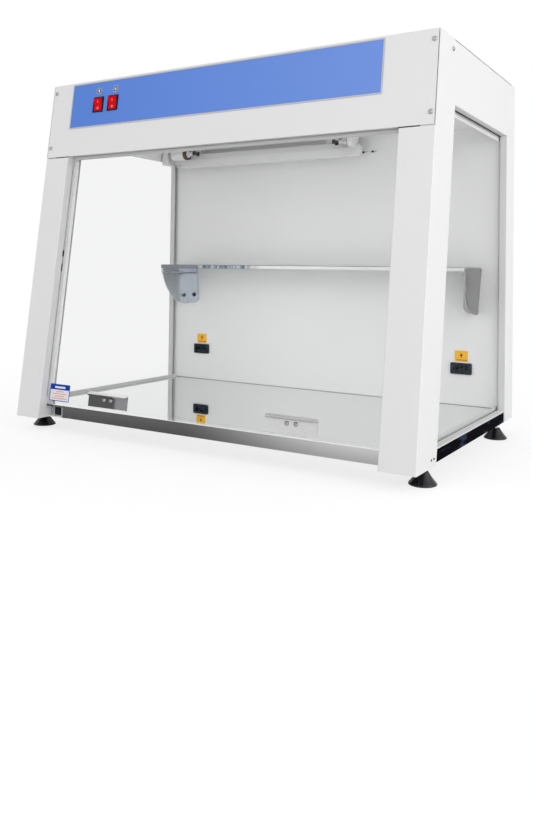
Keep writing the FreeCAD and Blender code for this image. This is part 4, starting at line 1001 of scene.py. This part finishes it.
def grown(tree: bpy.types.NodeTree, name: str, places: Sequence[Matrix], **values: object
          ) -> bpy.types.Object:
    """Runs a Geometry Nodes tree on points and keeps the result as a plain mesh.

    Args:
        tree: The tree.
        name: Name of the piece.
        places: One frame for each point; its Z is the point's axis.
        **values: The tree's inputs.

    Returns:
        The piece, with no modifier left.
    """
    points = bpy.data.meshes.new(name)
    points.from_pydata([place.translation for place in places], [], [])
    axis = points.attributes.new("axis", "FLOAT_VECTOR", "POINT")
    for row, place in zip(axis.data, places):
        row.vector = place.col[2].to_3d().normalized()
    piece = linked(name, points)
    modifier = piece.modifiers.new("build", "NODES")
    modifier.node_group = tree
    for item in tree.interface.items_tree:
        if item.item_type == "SOCKET" and item.in_out == "INPUT" and item.name in values:
            modifier[item.identifier] = values[item.name]
    piece.data = smoothed(applied(piece))
    return piece


class Part(Enum):
    """Small parts that repeat."""

    PAN_SCREW = "pan_screw"
    RIVET = "rivet"
    BIG_NUT = "big_nut"
    SMALL_NUT = "small_nut"


def pan_screw_mesh() -> bpy.types.Mesh:
    """Makes a domed head of unit radius with a cross recess.

    Returns:
        Its mesh.
    """
    head = Shaper("pan_screw_head", NICKEL)
    unit = Matrix.Identity(4)
    head.lathe(unit, [(0.0, -0.05), (0.96, -0.05), (1.0, 0.1), (0.93, 0.3), (0.72, 0.5), (0.4, 0.59),
                      (0.0, 0.6)], steps=24)
    cutter = Shaper("cross_recess", NICKEL)
    half, reach = (0.09, 0.48)
    arms = [(half, half), (half, reach), (-half, reach)]
    turned = [(x * c - y * s, x * s + y * c) for c, s in ((1, 0), (0, 1), (-1, 0), (0, -1))
              for x, y in arms]
    cutter.plate(unit, turned, 0.25, 1.0)
    solid = linked("pan_screw_head", head.mesh())
    result = carved(solid, cutter.mesh())
    bpy.data.objects.remove(solid)
    return result


def rivet_mesh() -> bpy.types.Mesh:
    """Makes a low blind rivet of unit radius with a hollow middle.

    Returns:
        Its mesh.
    """
    rivet = Shaper("rivet_head", BLACK_SCREW)
    rivet.lathe(Matrix.Identity(4), [(0.0, -0.05), (1.0, -0.05), (0.95, 0.3), (0.6, 0.5), (0.36, 0.5),
                                     (0.3, 0.3), (0.0, 0.3)], steps=20)
    return rivet.mesh()


def nut_mesh(flats: float, bore: float, height: float) -> bpy.types.Mesh:
    """Makes a hexagonal nut with chamfered corners and a bore, in millimetres.

    Args:
        flats: Width across its flats.
        bore: Radius of its bore.
        height: Its height.

    Returns:
        Its mesh.
    """
    nut = Shaper("nut", ZINC)
    sides = disc(flats / math.sqrt(3.0), 6)
    wide = [(first[0] * (1.0 - share) + second[0] * share, first[1] * (1.0 - share) + second[1] * share)
            for first, second in zip(sides, sides[1:] + sides[:1]) for share in (0.0, 0.25, 0.5, 0.75)]
    trimmed = disc(flats / 2.0, 24)
    hole = disc(bore, 24)
    rise = 0.12 * height
    levels = ((hole, 0.0), (trimmed, 0.0), (wide, rise), (wide, height - rise), (trimmed, height),
              (hole, height))
    nut.skin([nut.row(Matrix.Identity(4), *level) for level in levels], 0, looped=True)
    return nut.mesh()


PART_MESHES: dict[Part, Callable[[], bpy.types.Mesh]] = {
    Part.PAN_SCREW: pan_screw_mesh, Part.RIVET: rivet_mesh,
    Part.BIG_NUT: lambda: nut_mesh(flats=13.0, bore=4.05, height=4.0),
    Part.SMALL_NUT: lambda: nut_mesh(flats=7.0, bore=2.0, height=4.0)}


@dataclass
class Fixings:
    """Screws, rivets and nuts, each kind set on its points by one tree."""

    screw_inset: float = 9.0
    header_heights: Span = (654.0, 543.0)
    lid_height: float = 652.0
    lid_setback: float = 57.0
    rear: Span = (389.25, 257.6)
    rear_heights: Span = (55.0, 640.0)
    handle_x: float = 189.0
    handle_z: float = 58.5
    handle_rise: float = 14.85
    handle_pitch: float = 16.0
    rivet_z: float = 36.4
    rivet_setbacks: Span = (59.0, 70.0)
    nut_heights: Span = (24.0, 30.0)
    pull_faces: Span = (-16.0, -26.5)
    bracket_inset: float = 5.0
    bracket_face: float = 2.4
    head: float = 4.0
    bracket_head: float = 5.0
    rivet: float = 1.9
    seed: int = 7

    def build(self) -> None:
        """Makes every kind of fixing."""
        tree = fixing_tree()
        rivets = [on_side(side, HALF_WIDTH, front_y(self.rivet_z) + setback, self.rivet_z)
                  for side in (-1, 1) for setback in self.rivet_setbacks]
        nuts = [standing(side * FOOT_X, y, z)
                for side in (-1, 1) for y in FOOT_Y.values() for z in self.nut_heights]
        heads, nut_faces = (self.pulls(rise) for rise in self.pull_faces)
        for name, kind, places, size, finish, body, *nodes in (
                ("panel_screw_heads", Part.PAN_SCREW, self.panels(), self.head, NICKEL, "cabinet",
                 "panel_screws"),
                ("pull_screw_heads", Part.PAN_SCREW, heads, self.head, NICKEL, "window",
                 "handle_screws"),
                ("pull_nuts", Part.SMALL_NUT, nut_faces, 1.0, ZINC, "window", "handle_nuts"),
                ("bracket_screw_heads", Part.PAN_SCREW, self.brackets(), self.bracket_head,
                 BLACK_SCREW, "cabinet", "bracket_screws"),
                ("pillar_rivets", Part.RIVET, rivets, self.rivet, BLACK_SCREW, "cabinet"),
                ("foot_nuts_chamfered", Part.BIG_NUT, nuts, 1.0, ZINC, "cabinet", "foot_nuts")):
            part = linked(kind.value, PART_MESHES[kind]())
            piece = grown(tree, name, places, Part=part, Size=size * MM, Seed=self.seed,
                          Finish=finish.material())
            bpy.data.objects.remove(part)
            settle(piece, body, finish, *nodes)

    def panels(self) -> list[Matrix]:
        """Gives the screws' frames on the header, the top cover and the rear cover.

        Returns:
            The frames.
        """
        places = []
        rear_x, rear_y = self.rear
        for side in (-1, 1):
            places += [on_front(side * (HALF_WIDTH - self.screw_inset), z)
                       for z in self.header_heights]
            places.append(on_side(side, HALF_WIDTH, front_y(CABINET_TOP) + self.lid_setback,
                                  self.lid_height))
            places += [placed((side * rear_x, rear_y, z), -AXIS_X, AXIS_Z) for z in self.rear_heights]
        return places

    def pulls(self, rise: float) -> list[Matrix]:
        """Frames on the pulls' screws at a distance from the front plane."""
        height = self.handle_z + math.cos(LEAN) * self.handle_rise
        return [on_front(side * self.handle_x + offset * self.handle_pitch, height, rise)
                for side in (-1, 1) for offset in (-0.5, 0.5)]

    def brackets(self) -> list[Matrix]:
        """Gives the frames of the black screws on the shelf's brackets.

        Returns:
            The frames.
        """
        low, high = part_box("bracket_screws")
        x = high[0] / MM - self.bracket_inset
        z = (low[2] + high[2]) / 2.0 / MM
        return [facing_front(side * x, low[1] / MM + self.bracket_face, z) for side in (-1, 1)]


@dataclass
class Feet:
    """Levelling feet: bell-shaped pads on threaded studs."""

    thread: Span = (19.0, 41.6)
    thread_radius: float = 3.5
    thread_pitch: float = 1.25
    thread_depth: float = 0.48
    pad_profile: tuple[Point, ...] = (
        (0.0, 0.0), (19.8, 0.0), (20.8, 0.7), (21.0, 1.6), (20.6, 2.8), (19.4, 4.2), (17.6, 6.2),
        (15.4, 8.8), (13.2, 11.8), (11.2, 14.8), (9.6, 17.2), (8.7, 18.6), (8.2, 19.3), (7.4, 19.5),
        (4.6, 19.5), (4.2, 19.0), (4.2, 8.0), (0.0, 8.0))
    stud_profile: tuple[Point, ...] = (
        (0.0, 7.5), (3.4, 7.5), (3.45, 8.0), (3.45, 41.2), (2.9, 42.0), (0.0, 42.0))

    def build(self) -> None:
        """Makes the pad, the stud and the thread of all four feet."""
        tree = thread_tree()
        low, high = self.thread
        for row, y in FOOT_Y.items():
            for label, side in SIDES.items():
                name = f"{row}_{label}_foot"
                place = standing(side * FOOT_X, y, 0.0)
                pad = Shaper(name + "_pad_bell", PAD_PLASTIC)
                pad.lathe(place, self.pad_profile, steps=64)
                pad.done(name, name + "_pad")
                core = Shaper(name + "_stud_core", ZINC)
                core.lathe(place, self.stud_profile, steps=32)
                core.done(name, name + "_stud")
                thread = grown(tree, name + "_stud_thread", [standing(side * FOOT_X, y, low)],
                               Radius=self.thread_radius * MM, Pitch=self.thread_pitch * MM,
                               Depth=self.thread_depth * MM, Length=(high - low) * MM,
                               Finish=ZINC.material())
                settle(thread, name, ZINC)


# ---------------------------------------------------------------- header

@dataclass
class ControlPanel:
    """The overlay's border and symbols, and the switches' eased bezels and marked rockers."""

    middle: Point = (-17.25, 622.5)
    size: Span = (658.5, 89.75)
    border: float = 2.2
    face: float = 0.8
    print_depth: float = 0.12
    switch_z: float = 620.6
    switches: dict[str, float] = field(default_factory=lambda: {"light": -275.0, "uv": -238.5})
    symbol_shift: dict[str, float] = field(default_factory=lambda: {"light": -1.5, "uv": 3.5})
    symbol_rise: float = 27.0
    symbol_radius: float = 6.4
    symbol_rim: float = 1.1
    mark_rises: Span = (5.2, -7.2)

    def build(self) -> None:
        """Makes the pale band round the overlay, then the symbols and the switches."""
        width, height = self.size
        band = Shaper("overlay_border", OVERLAY_BEIGE)
        inner = rounded(width - 2.0 * self.border, height - 2.0 * self.border, 0.6)
        band.ring(on_front(*self.middle, self.face), rounded(width, height, 2.0), inner, -0.3,
                  self.print_depth)
        band.done("cabinet")
        for name, x in self.switches.items():
            self.symbol(name, x + self.symbol_shift[name])
            self.switch(name, x)

    def symbol(self, name: str, x: float) -> None:
        """Makes the round symbol over a switch: a lamp bulb or a lamp tube.

        Args:
            name: The switch's name.
            x: The symbol's place along the width.
        """
        sign = Shaper(name + "_symbol", OVERLAY_NAVY, OVERLAY_BEIGE, LABEL_WHITE)
        place = on_front(x, self.switch_z + self.symbol_rise * math.cos(LEAN), self.face)
        outer = disc(self.symbol_radius, 40)
        sign.plate(place, outer, -0.1, self.print_depth)
        sign.ring(place, outer, disc(self.symbol_radius - self.symbol_rim, 40), -0.1,
                  2.0 * self.print_depth, 1)
        bulb = [disc(2.3, 24, (0.0, 1.0)), rounded(2.2, 2.6, 0.4, (0.0, -2.2))]
        tube = [rounded(2.0, 7.0, 0.9), rounded(0.8, 4.0, 0.3, (-2.8, 0.0)),
                rounded(0.8, 4.0, 0.3, (2.8, 0.0))]
        for outline in bulb if name == "light" else tube:
            sign.plate(place, outline, 0.0, 2.0 * self.print_depth, 2)
        sign.done("cabinet")

    def switch(self, name: str, x: float) -> None:
        """Makes an eased housing and rocker, with the marks for on and off.

        Args:
            name: The switch's name.
            x: Its place along the width.
        """
        softened(name + "_switch_housing", 0.0005)
        rocker = softened(name + "_rocker", 0.0006)
        marks = Shaper(name + "_rocker_marks", ROCKER_MARK)
        on_place, off_place = (self.landed(rocker, x, rise) for rise in self.mark_rises)
        marks.plate(on_place, rounded(1.1, 4.4, 0.3), -0.2, self.print_depth)
        marks.ring(off_place, disc(2.3, 28), disc(1.5, 28), -0.2, self.print_depth)
        marks.done(name + "_switch")

    def landed(self, target: bpy.types.Object, x: float, up: float) -> Matrix:
        """Frame on a piece's surface, found straight in from the front.

        Args:
            target: The piece.
            x: Place along the width.
            up: Distance up the slope from the switches' middle.

        Returns:
            The frame, with its Z along the surface's normal.
        """
        start = on_front(x, self.switch_z, 30.0) @ Vector((0.0, up, 0.0))
        hit, point, normal, _ = target.ray_cast(start, -OUTWARD)
        if not hit:
            raise ValueError(f"{target.name} isn't below its mark")
        return placed(point / MM, AXIS_X, normal.cross(AXIS_X).normalized())


# ---------------------------------------------------------------- window

@dataclass
class FrontWindow:
    """Lifting window with its notice and pulls, and the fixed side windows."""

    notice: Point = (-310.5, 75.0)
    notice_size: Span = (50.5, 31.5)
    notice_face: float = -17.5
    print_depth: float = 0.08
    border: float = 1.3
    band: float = 9.0
    title_bar: Triple = (27.0, 3.6, 1.2)
    lines: tuple[float, ...] = (20.0, 34.0, 24.0, 38.0)
    first_line: float = 3.4
    line_pitch: float = 4.2

    def build(self) -> None:
        """Makes the panes and the pulls, then the notice, with plain bars in place of words."""
        softened("front_window", 0.0, WINDOW_RIM, OUTWARD)
        for side in SIDES:
            softened(side + "_side_window", 0.0, WINDOW_RIM, AXIS_X)
            softened(side + "_handle", 0.00025)
        softened("window_top_rail", 0.0003)
        softened("window_seals", 0.0)
        width, height = self.notice_size
        depth = self.print_depth
        printed = Shaper("window_notice", LABEL_WHITE, PRINT_BLUE, PRINT_RED)
        outer = rounded(width, height, 1.0)
        place = on_front(*self.notice, self.notice_face)
        printed.plate(place, outer, 0.02, depth)
        place = place @ Matrix.Translation((0.0, 0.0, depth))
        inner = rounded(width - 2.0 * self.border, height - 2.0 * self.border, 0.3)
        printed.ring(place, outer, inner, -0.02, depth, 1)
        top = height / 2.0 - self.border
        middle = (0.0, top - self.band / 2.0)
        printed.plate(place, rounded(width - 2.2 * self.border, self.band, 0.1, middle), -0.02, depth, 1)
        printed.plate(place, rounded(*self.title_bar, middle), -0.02, 2.0 * depth)
        for number, length in enumerate(self.lines):
            centre = (0.0, top - self.band - self.first_line - self.line_pitch * number)
            printed.plate(place, rounded(length, 1.3, 0.5, centre), -0.02, depth, 2)
        printed.done("window", "window_sticker")


# ---------------------------------------------------------------- chamber

@dataclass
class BackWall:
    """Mains outlets, each label printed with a plain plug over a row of bars, and the shelf."""

    label_x: dict[str, float] = field(default_factory=lambda: {"left": -306.0, "right": 314.0})
    label_y: float = 206.7
    label_z: float = 146.0
    print_depth: float = 0.08
    bar_z: float = -7.6
    bars: tuple[Span, ...] = ((-9.0, 4.0), (-4.0, 6.0), (3.0, 2.5), (6.5, 4.0))

    def build(self) -> None:
        """Makes both outlets with their print, then the glass shelf and its brackets."""
        outlines = [rounded(length, 1.3, 0.3, (start + length / 2.0, self.bar_z))
                    for start, length in self.bars]
        outlines += [rounded(4.4, 3.4, 1.0, (0.0, 1.6)), rounded(0.8, 2.6, 0.3, (-1.2, 4.4)),
                     rounded(0.8, 2.6, 0.3, (1.2, 4.4)), rounded(0.9, 4.0, 0.3, (0.0, -1.9))]
        for side, x in self.label_x.items():
            softened(side + "_outlet", 0.0008)
            sign = Shaper(side + "_outlet_print", PRINT_DARK)
            for outline in outlines:
                sign.plate(facing_front(x, self.label_y, self.label_z), outline, -0.1, self.print_depth)
            sign.done("cabinet")
        softened("glass_shelf", 0.0, SHELF_RIM)
        for side in SIDES:
            softened(side + "_shelf_bracket", 0.0006)


@dataclass
class Lamp:
    """One tubular lamp: glass, caps, pins, holders and wireway."""

    name: str
    y: float
    glass: Finish
    ends: Span = (-338.0, 99.0)
    z: float = 571.0
    radius: float = 13.0
    caps: Span = (17.0, 17.0)
    collar: float = 0.0
    clear: bool = False
    pin_shift: float = 6.35
    pin_span: Span = (-6.8, 0.5)
    stem: tuple[Point, ...] = ((0.0, 0.0), (8.0, 0.0), (4.5, 6.0), (3.2, 11.0), (3.4, 13.0), (0.0, 13.0))
    leads: tuple[Point, ...] = ((2.2, 12.0), (5.0, 17.0), (6.6, 24.0))
    guard: Span = (7.4, 22.0)
    coil_steps: int = 80

    def build(self) -> None:
        """Eases the fittings and makes the tube, its ends and, in a clear one, its mounts."""
        softened(self.name + "_lamp_body", 0.0008)
        for side in SIDES:
            softened(f"{self.name}_lampholder_{side}", 0.0012)
        tube = Shaper(self.name + "_tube_glass", self.glass)
        low = self.caps[0] - 0.5
        high = self.length - self.caps[1] + 0.5
        outer = self.radius - 0.3
        tube.lathe(self.place, [(0.0, low), (outer, low), (outer, high), (0.0, high)], steps=48)
        tube.done("cabinet", self.name + "_lamp_tube").visible_shadow = not self.clear
        self.fit_caps()
        if self.clear:
            self.fit_mounts()

    @property
    def length(self) -> float:
        """Length over both caps."""
        return self.ends[1] - self.ends[0]

    @property
    def place(self) -> Matrix:
        """Frame along the tube, from its left end."""
        return along_width(self.ends[0], self.y, self.z)

    def fit_caps(self) -> None:
        """Metal caps with two pins each, one behind a white collar."""
        caps = Shaper(self.name + "_tube_caps", LAMP_CAP, ZINC, LAMP_CAP_BURNT, WHITE_PLASTIC)
        r = self.radius
        for face, inward, reach, collar, finish in (
                (0.0, 1.0, self.caps[0], self.collar, 2 if self.clear else 0),
                (self.length, -1.0, self.caps[1], 0.0, 0)):
            spans = [(collar, reach, finish)] + [(0.0, collar + 0.2, 3)] * bool(collar)
            for near, far, look in spans:
                low, high = sorted((face + inward * near, face + inward * far))
                caps.lathe(self.place, [(0.0, low), (r - 0.5, low), (r, low + 0.5), (r, high - 0.5),
                                        (r - 0.5, high), (0.0, high)], look, steps=48)
            for shift in (-self.pin_shift, self.pin_shift):
                tips = sorted(face + inward * tip for tip in self.pin_span)
                caps.wire(self.place, [(shift, 0.0, tip) for tip in tips], 1.2, 1)
        caps.done("cabinet")

    def fit_mounts(self) -> None:
        """Glass stems with their lead wires and filament coils."""
        mounts = Shaper(self.name + "_tube_mounts", LAMP_WIRE, WHITE_PLASTIC)
        for face, inward in ((self.caps[0], 1), (self.length - self.caps[1], -1)):
            mounts.lathe(self.place, [(r, face + inward * step) for r, step in self.stem][::inward], 1,
                         steps=24)
            for side in (-1.0, 1.0):
                path = [(side * shift, 0.0, face + inward * step) for shift, step in self.leads]
                mounts.wire(self.place, path[::inward], 0.8)
                shift, step = self.guard
                plate = along_width(self.ends[0] + face + inward * step, self.y, self.z)
                mounts.plate(plate, rounded(1.2, 9.0, 0.4, (side * shift, 0.0)), -4.0, 4.0)
            reach, base = self.leads[-1]
            coil = [(0.16 * reach * math.cos(0.5 * step) + reach * (2.0 * step / self.coil_steps - 1.0),
                     1.1 * math.sin(step), face + inward * (base + math.cos(step)))
                    for step in range(self.coil_steps + 1)]
            mounts.wire(self.place, coil, 0.6, steps=6)
        mounts.done("cabinet")


@dataclass
class Leads:
    """Lead that leaves the clear lamp's junction box, and clips under the ceiling's rear flange."""

    lead: tuple[Triple, ...] = (
        (-363.0, 143.0, 580.0), (-360.5, 142.5, 578.0), (-358.5, 142.0, 570.0),
        (-358.0, 143.0, 560.0), (-356.0, 146.0, 553.0), (-351.0, 152.0, 549.5),
        (-344.0, 160.0, 548.5), (-338.0, 166.0, 549.0))
    clip_y: float = 205.5
    clip_z: float = 554.5
    clip_x: Triple = (-280.0, 103.0, 124.0)
    clip_lead: tuple[Triple, ...] = ((-4.2, 0.4, 2.0), (0.0, 0.4, 2.2), (9.0, 0.6, 3.0))

    def build(self) -> None:
        """Eases the box, lays the lead and makes every clip with its short end of lead."""
        softened("uv_end_box", 0.0012)
        lead = Shaper("lamp_lead", BALLAST_GREY)
        lead.wire(standing(0.0, 0.0, 0.0), self.lead, 0.9)
        lead.done("cabinet")
        clips = Shaper("lead_clips", BLACK_PLASTIC, BALLAST_GREY)
        for x in self.clip_x:
            place = standing(x, self.clip_y, self.clip_z)
            clips.plate(place, rounded(4.0, 2.6, 0.6), 0.4, 3.6)
            clips.wire(place, self.clip_lead, 0.55, 1)
        clips.done("cabinet", "cable_clips")


@dataclass
class Tray:
    """Bright tray with its apron notched beside the left foot, and what shows round it."""

    notch_x: Span = (-345.0, -300.0)
    notch_y: Span = (-245.0, -230.0)
    notch_z: Span = (20.0, 46.5)
    bead_y: float = 206.4
    bead_radius: float = 0.7
    surface: float = 51.0
    half: float = 383.4
    sill_front: float = -216.0
    sill: tuple[Point, ...] = ((0.0, 0.0), (3.2, 0.0), (3.2, 1.0), (1.1, 2.0), (1.1, 5.5), (0.0, 5.5))
    foot_plate: Triple = (-346.0, -229.0, 25.2)
    gusset: Triple = (-336.0, -227.0, 36.5)

    def build(self) -> None:
        """Cuts the notch, then adds the joint's bead, the foot plate with its gusset, a dark patch of
        painted shade on the gusset, and the sills.
        """
        tool = Shaper("apron_notch", TRAY_STEEL)
        (left, right), (front, rear) = self.notch_x, self.notch_y
        origin = standing(0.0, 0.0, 0.0)
        centre = ((left + right) / 2.0, (front + rear) / 2.0)
        tool.plate(origin, rounded(right - left, rear - front, 0.5, centre, steps=1), *self.notch_z)
        tray = softened("work_tray", 0.0)
        tray.data = smoothed(carved(tray, tool.mesh()))

        bead = Shaper("tray_wall_joint", BEAD_GREY)
        bead.wire(along_width(-self.half, self.bead_y, self.surface),
                  [(0.0, 0.2, 0.0), (0.0, 0.2, 2.0 * self.half)], self.bead_radius)
        bead.done("cabinet")

        plate = Shaper("left_foot_plate", POWDER_WHITE, BRACKET_STEEL, SEAM_DARK)
        plate.plate(standing(*self.foot_plate), rounded(92.0, 7.0, 0.4), 0.0, 2.6)
        gusset = facing_front(*self.gusset)
        plate.plate(gusset, rounded(64.0, 15.0, 0.5), 0.0, 1.0, 1)
        # Dark patch of painted shade where an opening in the gusset is.
        plate.plate(gusset, rounded(17.0, 15.2, 0.3, (14.0, 0.0)), -0.1, 1.2, 2)
        plate.done("cabinet")

        for label, side in SIDES.items():
            sill = Shaper(label + "_tray_sill", SILL_GREY)
            place = placed((side * self.half, self.sill_front, self.surface + 0.05), AXIS_X * -side, AXIS_Z)
            sill.plate(place, list(self.sill), *sorted((0.0, side * (self.bead_y - self.sill_front))))
            sill.done("cabinet")


@dataclass
class Seams:
    """Painted shade in the gaps between the painted sheets and along the panes' joints, and the panes'
    stops on the pillars.
    """

    return_x: float = 342.0
    pane_inset: float = 16.6
    joint_z: float = 288.0
    edge_gaps: dict[int, float] = field(default_factory=lambda: {-1: 0.3, 1: 0.9})
    header_edge: Point = (398.3, 596.5)
    pillar_top: Point = (358.5, 523.0)
    lid_edge: Triple = (HALF_WIDTH, 60.0, 668.5)
    ceiling_edge: Triple = (388.1, 46.0, 566.0)
    stops: tuple[Triple, ...] = ((337.0, 3.2, 12.0), (310.0, 2.2, 15.0))

    def build(self) -> None:
        """Draws dark strips of painted shade in the gaps, a soft line of painted shade along each pane and
        small dark stops beside it.
        """
        seams = Shaper("sheet_gaps", SEAM_DARK)
        joints = Shaper("pane_joints", JOINT_GREY)
        stops = Shaper("window_stops", BLACK_SCREW)
        for side in (-1, 1):
            header, pillar = (on_front(side * x, z) for x, z in (self.header_edge, self.pillar_top))
            for place, width, height, radius, low, high in (
                    (header, self.edge_gaps[side], 144.0, 0.1, -0.4, 0.04),
                    (pillar, 34.0, 1.8, 0.2, -1.6, -0.3),
                    (on_side(side, *self.lid_edge), 340.0, 1.0, 0.2, -0.1, 0.04),
                    (on_side(side, *self.ceiling_edge), 304.0, 1.7, 0.2, 0.0, 0.5)):
                seams.plate(place, rounded(width, height, radius, steps=1), low, high)
            joints.plate(self.on_return(side, self.joint_z), rounded(1.3, 450.0, 0.2, steps=1), -0.1, 0.06)
            for z, width, height in self.stops:
                place = self.on_return(side, z)
                stops.plate(place, rounded(width, height, 0.9), -0.1, 0.6)
                stops.plate(place, rounded(0.5 * width, 0.7 * height, 0.5), 0.55, 0.9)
        for shaper in (seams, joints, stops):
            shaper.done("cabinet")

    def on_return(self, side: int, z: float) -> Matrix:
        """Frame on a pillar's return at the pane's face: X across the return, Y up the slope."""
        origin = Vector((side * self.return_x, front_y(z), z)) - OUTWARD * self.pane_inset
        return placed(origin, OUTWARD * side, UP_SLOPE)


@dataclass
class Carcass:
    """Painted sheets and rear fittings with their edges eased."""

    widths: dict[str, float] = field(default_factory=lambda: {
        "header_front_cover": 0.0004, "top_cover": 0.0004, "left_side_panel": 0.0003,
        "right_side_panel": 0.0003, "rear_cover": 0.0004, "power_inlet": 0.0006,
        "control_panel_label": 0.0001})

    def build(self) -> None:
        """Eases every sheet."""
        for name, width in self.widths.items():
            softened(name, width)


# ---------------------------------------------------------------- studio

def seen(graph: Graph) -> Socket:
    """Tells what is seen, reflected or looked through from what only lights.

    Args:
        graph: The graph of a world or a material.

    Returns:
        One for a ray of the camera, a reflection or a clear piece, and else zero.
    """
    rays = graph.add("ShaderNodeLightPath").outputs
    direct = graph.maths("MAXIMUM", rays["Is Camera Ray"], rays["Is Transmission Ray"])
    return graph.maths("MAXIMUM", direct, rays["Is Glossy Ray"])


@dataclass
class Studio:
    """Pale floor, soft lights and the camera; lengths are in metres."""

    eye: Triple = (0.7876, -1.2962, 0.3063)
    yaw: float = -0.5487
    pitch: float = 0.0139
    roll: float = 0.0134
    lens: float = 34.37
    drop: float = -0.1845
    floor_half: float = 40.0
    sky: float = 0.62
    floor_shadow: float = 0.35
    near_glow: float = 1.14
    fade: Span = (0.5, 1.6)

    def build(self) -> None:
        """Makes the whole studio."""
        self.camera()
        self.world()
        self.floor()
        self.lamps()

    def camera(self) -> None:
        """Places the camera by its turn, tilt and roll."""
        data = bpy.data.cameras.new("view")
        data.lens = self.lens
        data.shift_y = self.drop
        data.clip_end = 200.0
        camera = linked("view", data)
        camera.matrix_world = (Matrix.Translation(self.eye) @ Matrix.Rotation(-self.yaw, 4, "Z")
                               @ Matrix.Rotation(math.pi / 2.0 + self.pitch, 4, "X")
                               @ Matrix.Rotation(self.roll, 4, "Z"))
        bpy.context.scene.camera = camera

    def world(self) -> None:
        """White where it is seen, reflected or looked through, softer as a light."""
        world = bpy.data.worlds.new("studio")
        world.use_nodes = True
        bpy.context.scene.world = world
        graph = Graph(world.node_tree)
        background = world.node_tree.nodes["Background"].inputs
        graph.feed(background["Color"], (1.0, 1.0, 1.0, 1.0))
        graph.feed(background["Strength"], graph.ramp(seen(graph), 0.0, 1.0, self.sky, 1.0))

    def floor(self) -> None:
        """White floor that keeps part of the shadow."""
        material = bpy.data.materials.new("studio_floor")
        material.use_nodes = True
        graph = Graph(material.node_tree)
        material.node_tree.nodes.remove(material.node_tree.nodes["Principled BSDF"])
        matt = graph.add("ShaderNodeBsdfDiffuse", {"Color": (0.93, 0.93, 0.93, 1.0)})
        reach = graph.add("ShaderNodeVectorMath", {0: graph.place()}, operation="LENGTH")
        distance = reach.outputs["Value"]
        glow = graph.add("ShaderNodeEmission", {
            "Strength": graph.ramp(distance, *self.fade, self.near_glow, 1.0)})
        fade = graph.ramp(distance, *self.fade, 1.0 - self.floor_shadow, 1.0)
        share = graph.maths("MULTIPLY", seen(graph), fade)
        mixed = graph.add("ShaderNodeMixShader", {0: share, 1: matt.outputs[0], 2: glow.outputs[0]})
        graph.feed(material.node_tree.nodes["Material Output"].inputs["Surface"], mixed.outputs[0])
        half = self.floor_half
        mesh = bpy.data.meshes.new("studio_floor")
        mesh.from_pydata([(-half, -half, 0), (half, -half, 0), (half, half, 0), (-half, half, 0)], [],
                         [(0, 1, 2, 3)])
        mesh.materials.append(material)
        floor = linked("studio_floor", mesh)

    def lamps(self) -> None:
        """Large soft lights outside, and unseen ones in the chamber, whose panes keep the lamps out."""
        for name, place, aim, size, power in (
                ("side_light", (2.6, -0.2, 1.2), (0.0, 0.0, 0.35), 1.8, 18.0),
                ("front_light", (-0.6, -2.6, 1.8), (0.0, 0.0, 0.3), 2.0, 10.4),
                ("corner_light", (2.2, -2.0, 0.8), (0.0, 0.0, 0.35), 1.4, 9.0)):
            data = bpy.data.lights.new(name, "AREA")
            data.size = size
            data.energy = power
            lamp = linked(name, data)
            lamp.location = place
            lamp.rotation_euler = (Vector(aim) - Vector(place)).to_track_quat("-Z", "Y").to_euler()
        for name, place, radius, power in (
                ("upper_chamber_light", (0.0, -0.06, 0.43), 0.16, 0.27),
                ("lower_chamber_light", (0.0, -0.08, 0.19), 0.12, 0.25)):
            data = bpy.data.lights.new(name, "POINT")
            data.shadow_soft_size = radius
            data.energy = power
            glow = linked(name, data)
            glow.location = place
            glow.visible_camera = False
            glow.visible_glossy = False
            glow.visible_transmission = False


def main() -> None:
    """Builds the studio and dresses the workstation."""
    logging.basicConfig(level=logging.INFO, format="%(name)s: %(message)s")
    bpy.context.scene.view_settings.view_transform = "Standard"
    Studio().build()
    log.info("studio ready")
    dress_frame()
    log.info("frame dressed: %d nodes", len(frame["nodes"]))
    for group in (Carcass(), ControlPanel(), FrontWindow(), BackWall(),
                  Lamp("uv", 144.0, TUBE_QUARTZ, caps=(32.0, 9.0), collar=24.0, clear=True),
                  Lamp("white", -90.0, TUBE_PHOSPHOR), Leads(), Tray(), Seams(), Feet(), Fixings()):
        group.build()
        log.info("%s built", type(group).__name__)


if __name__ == "__main__":
    main()
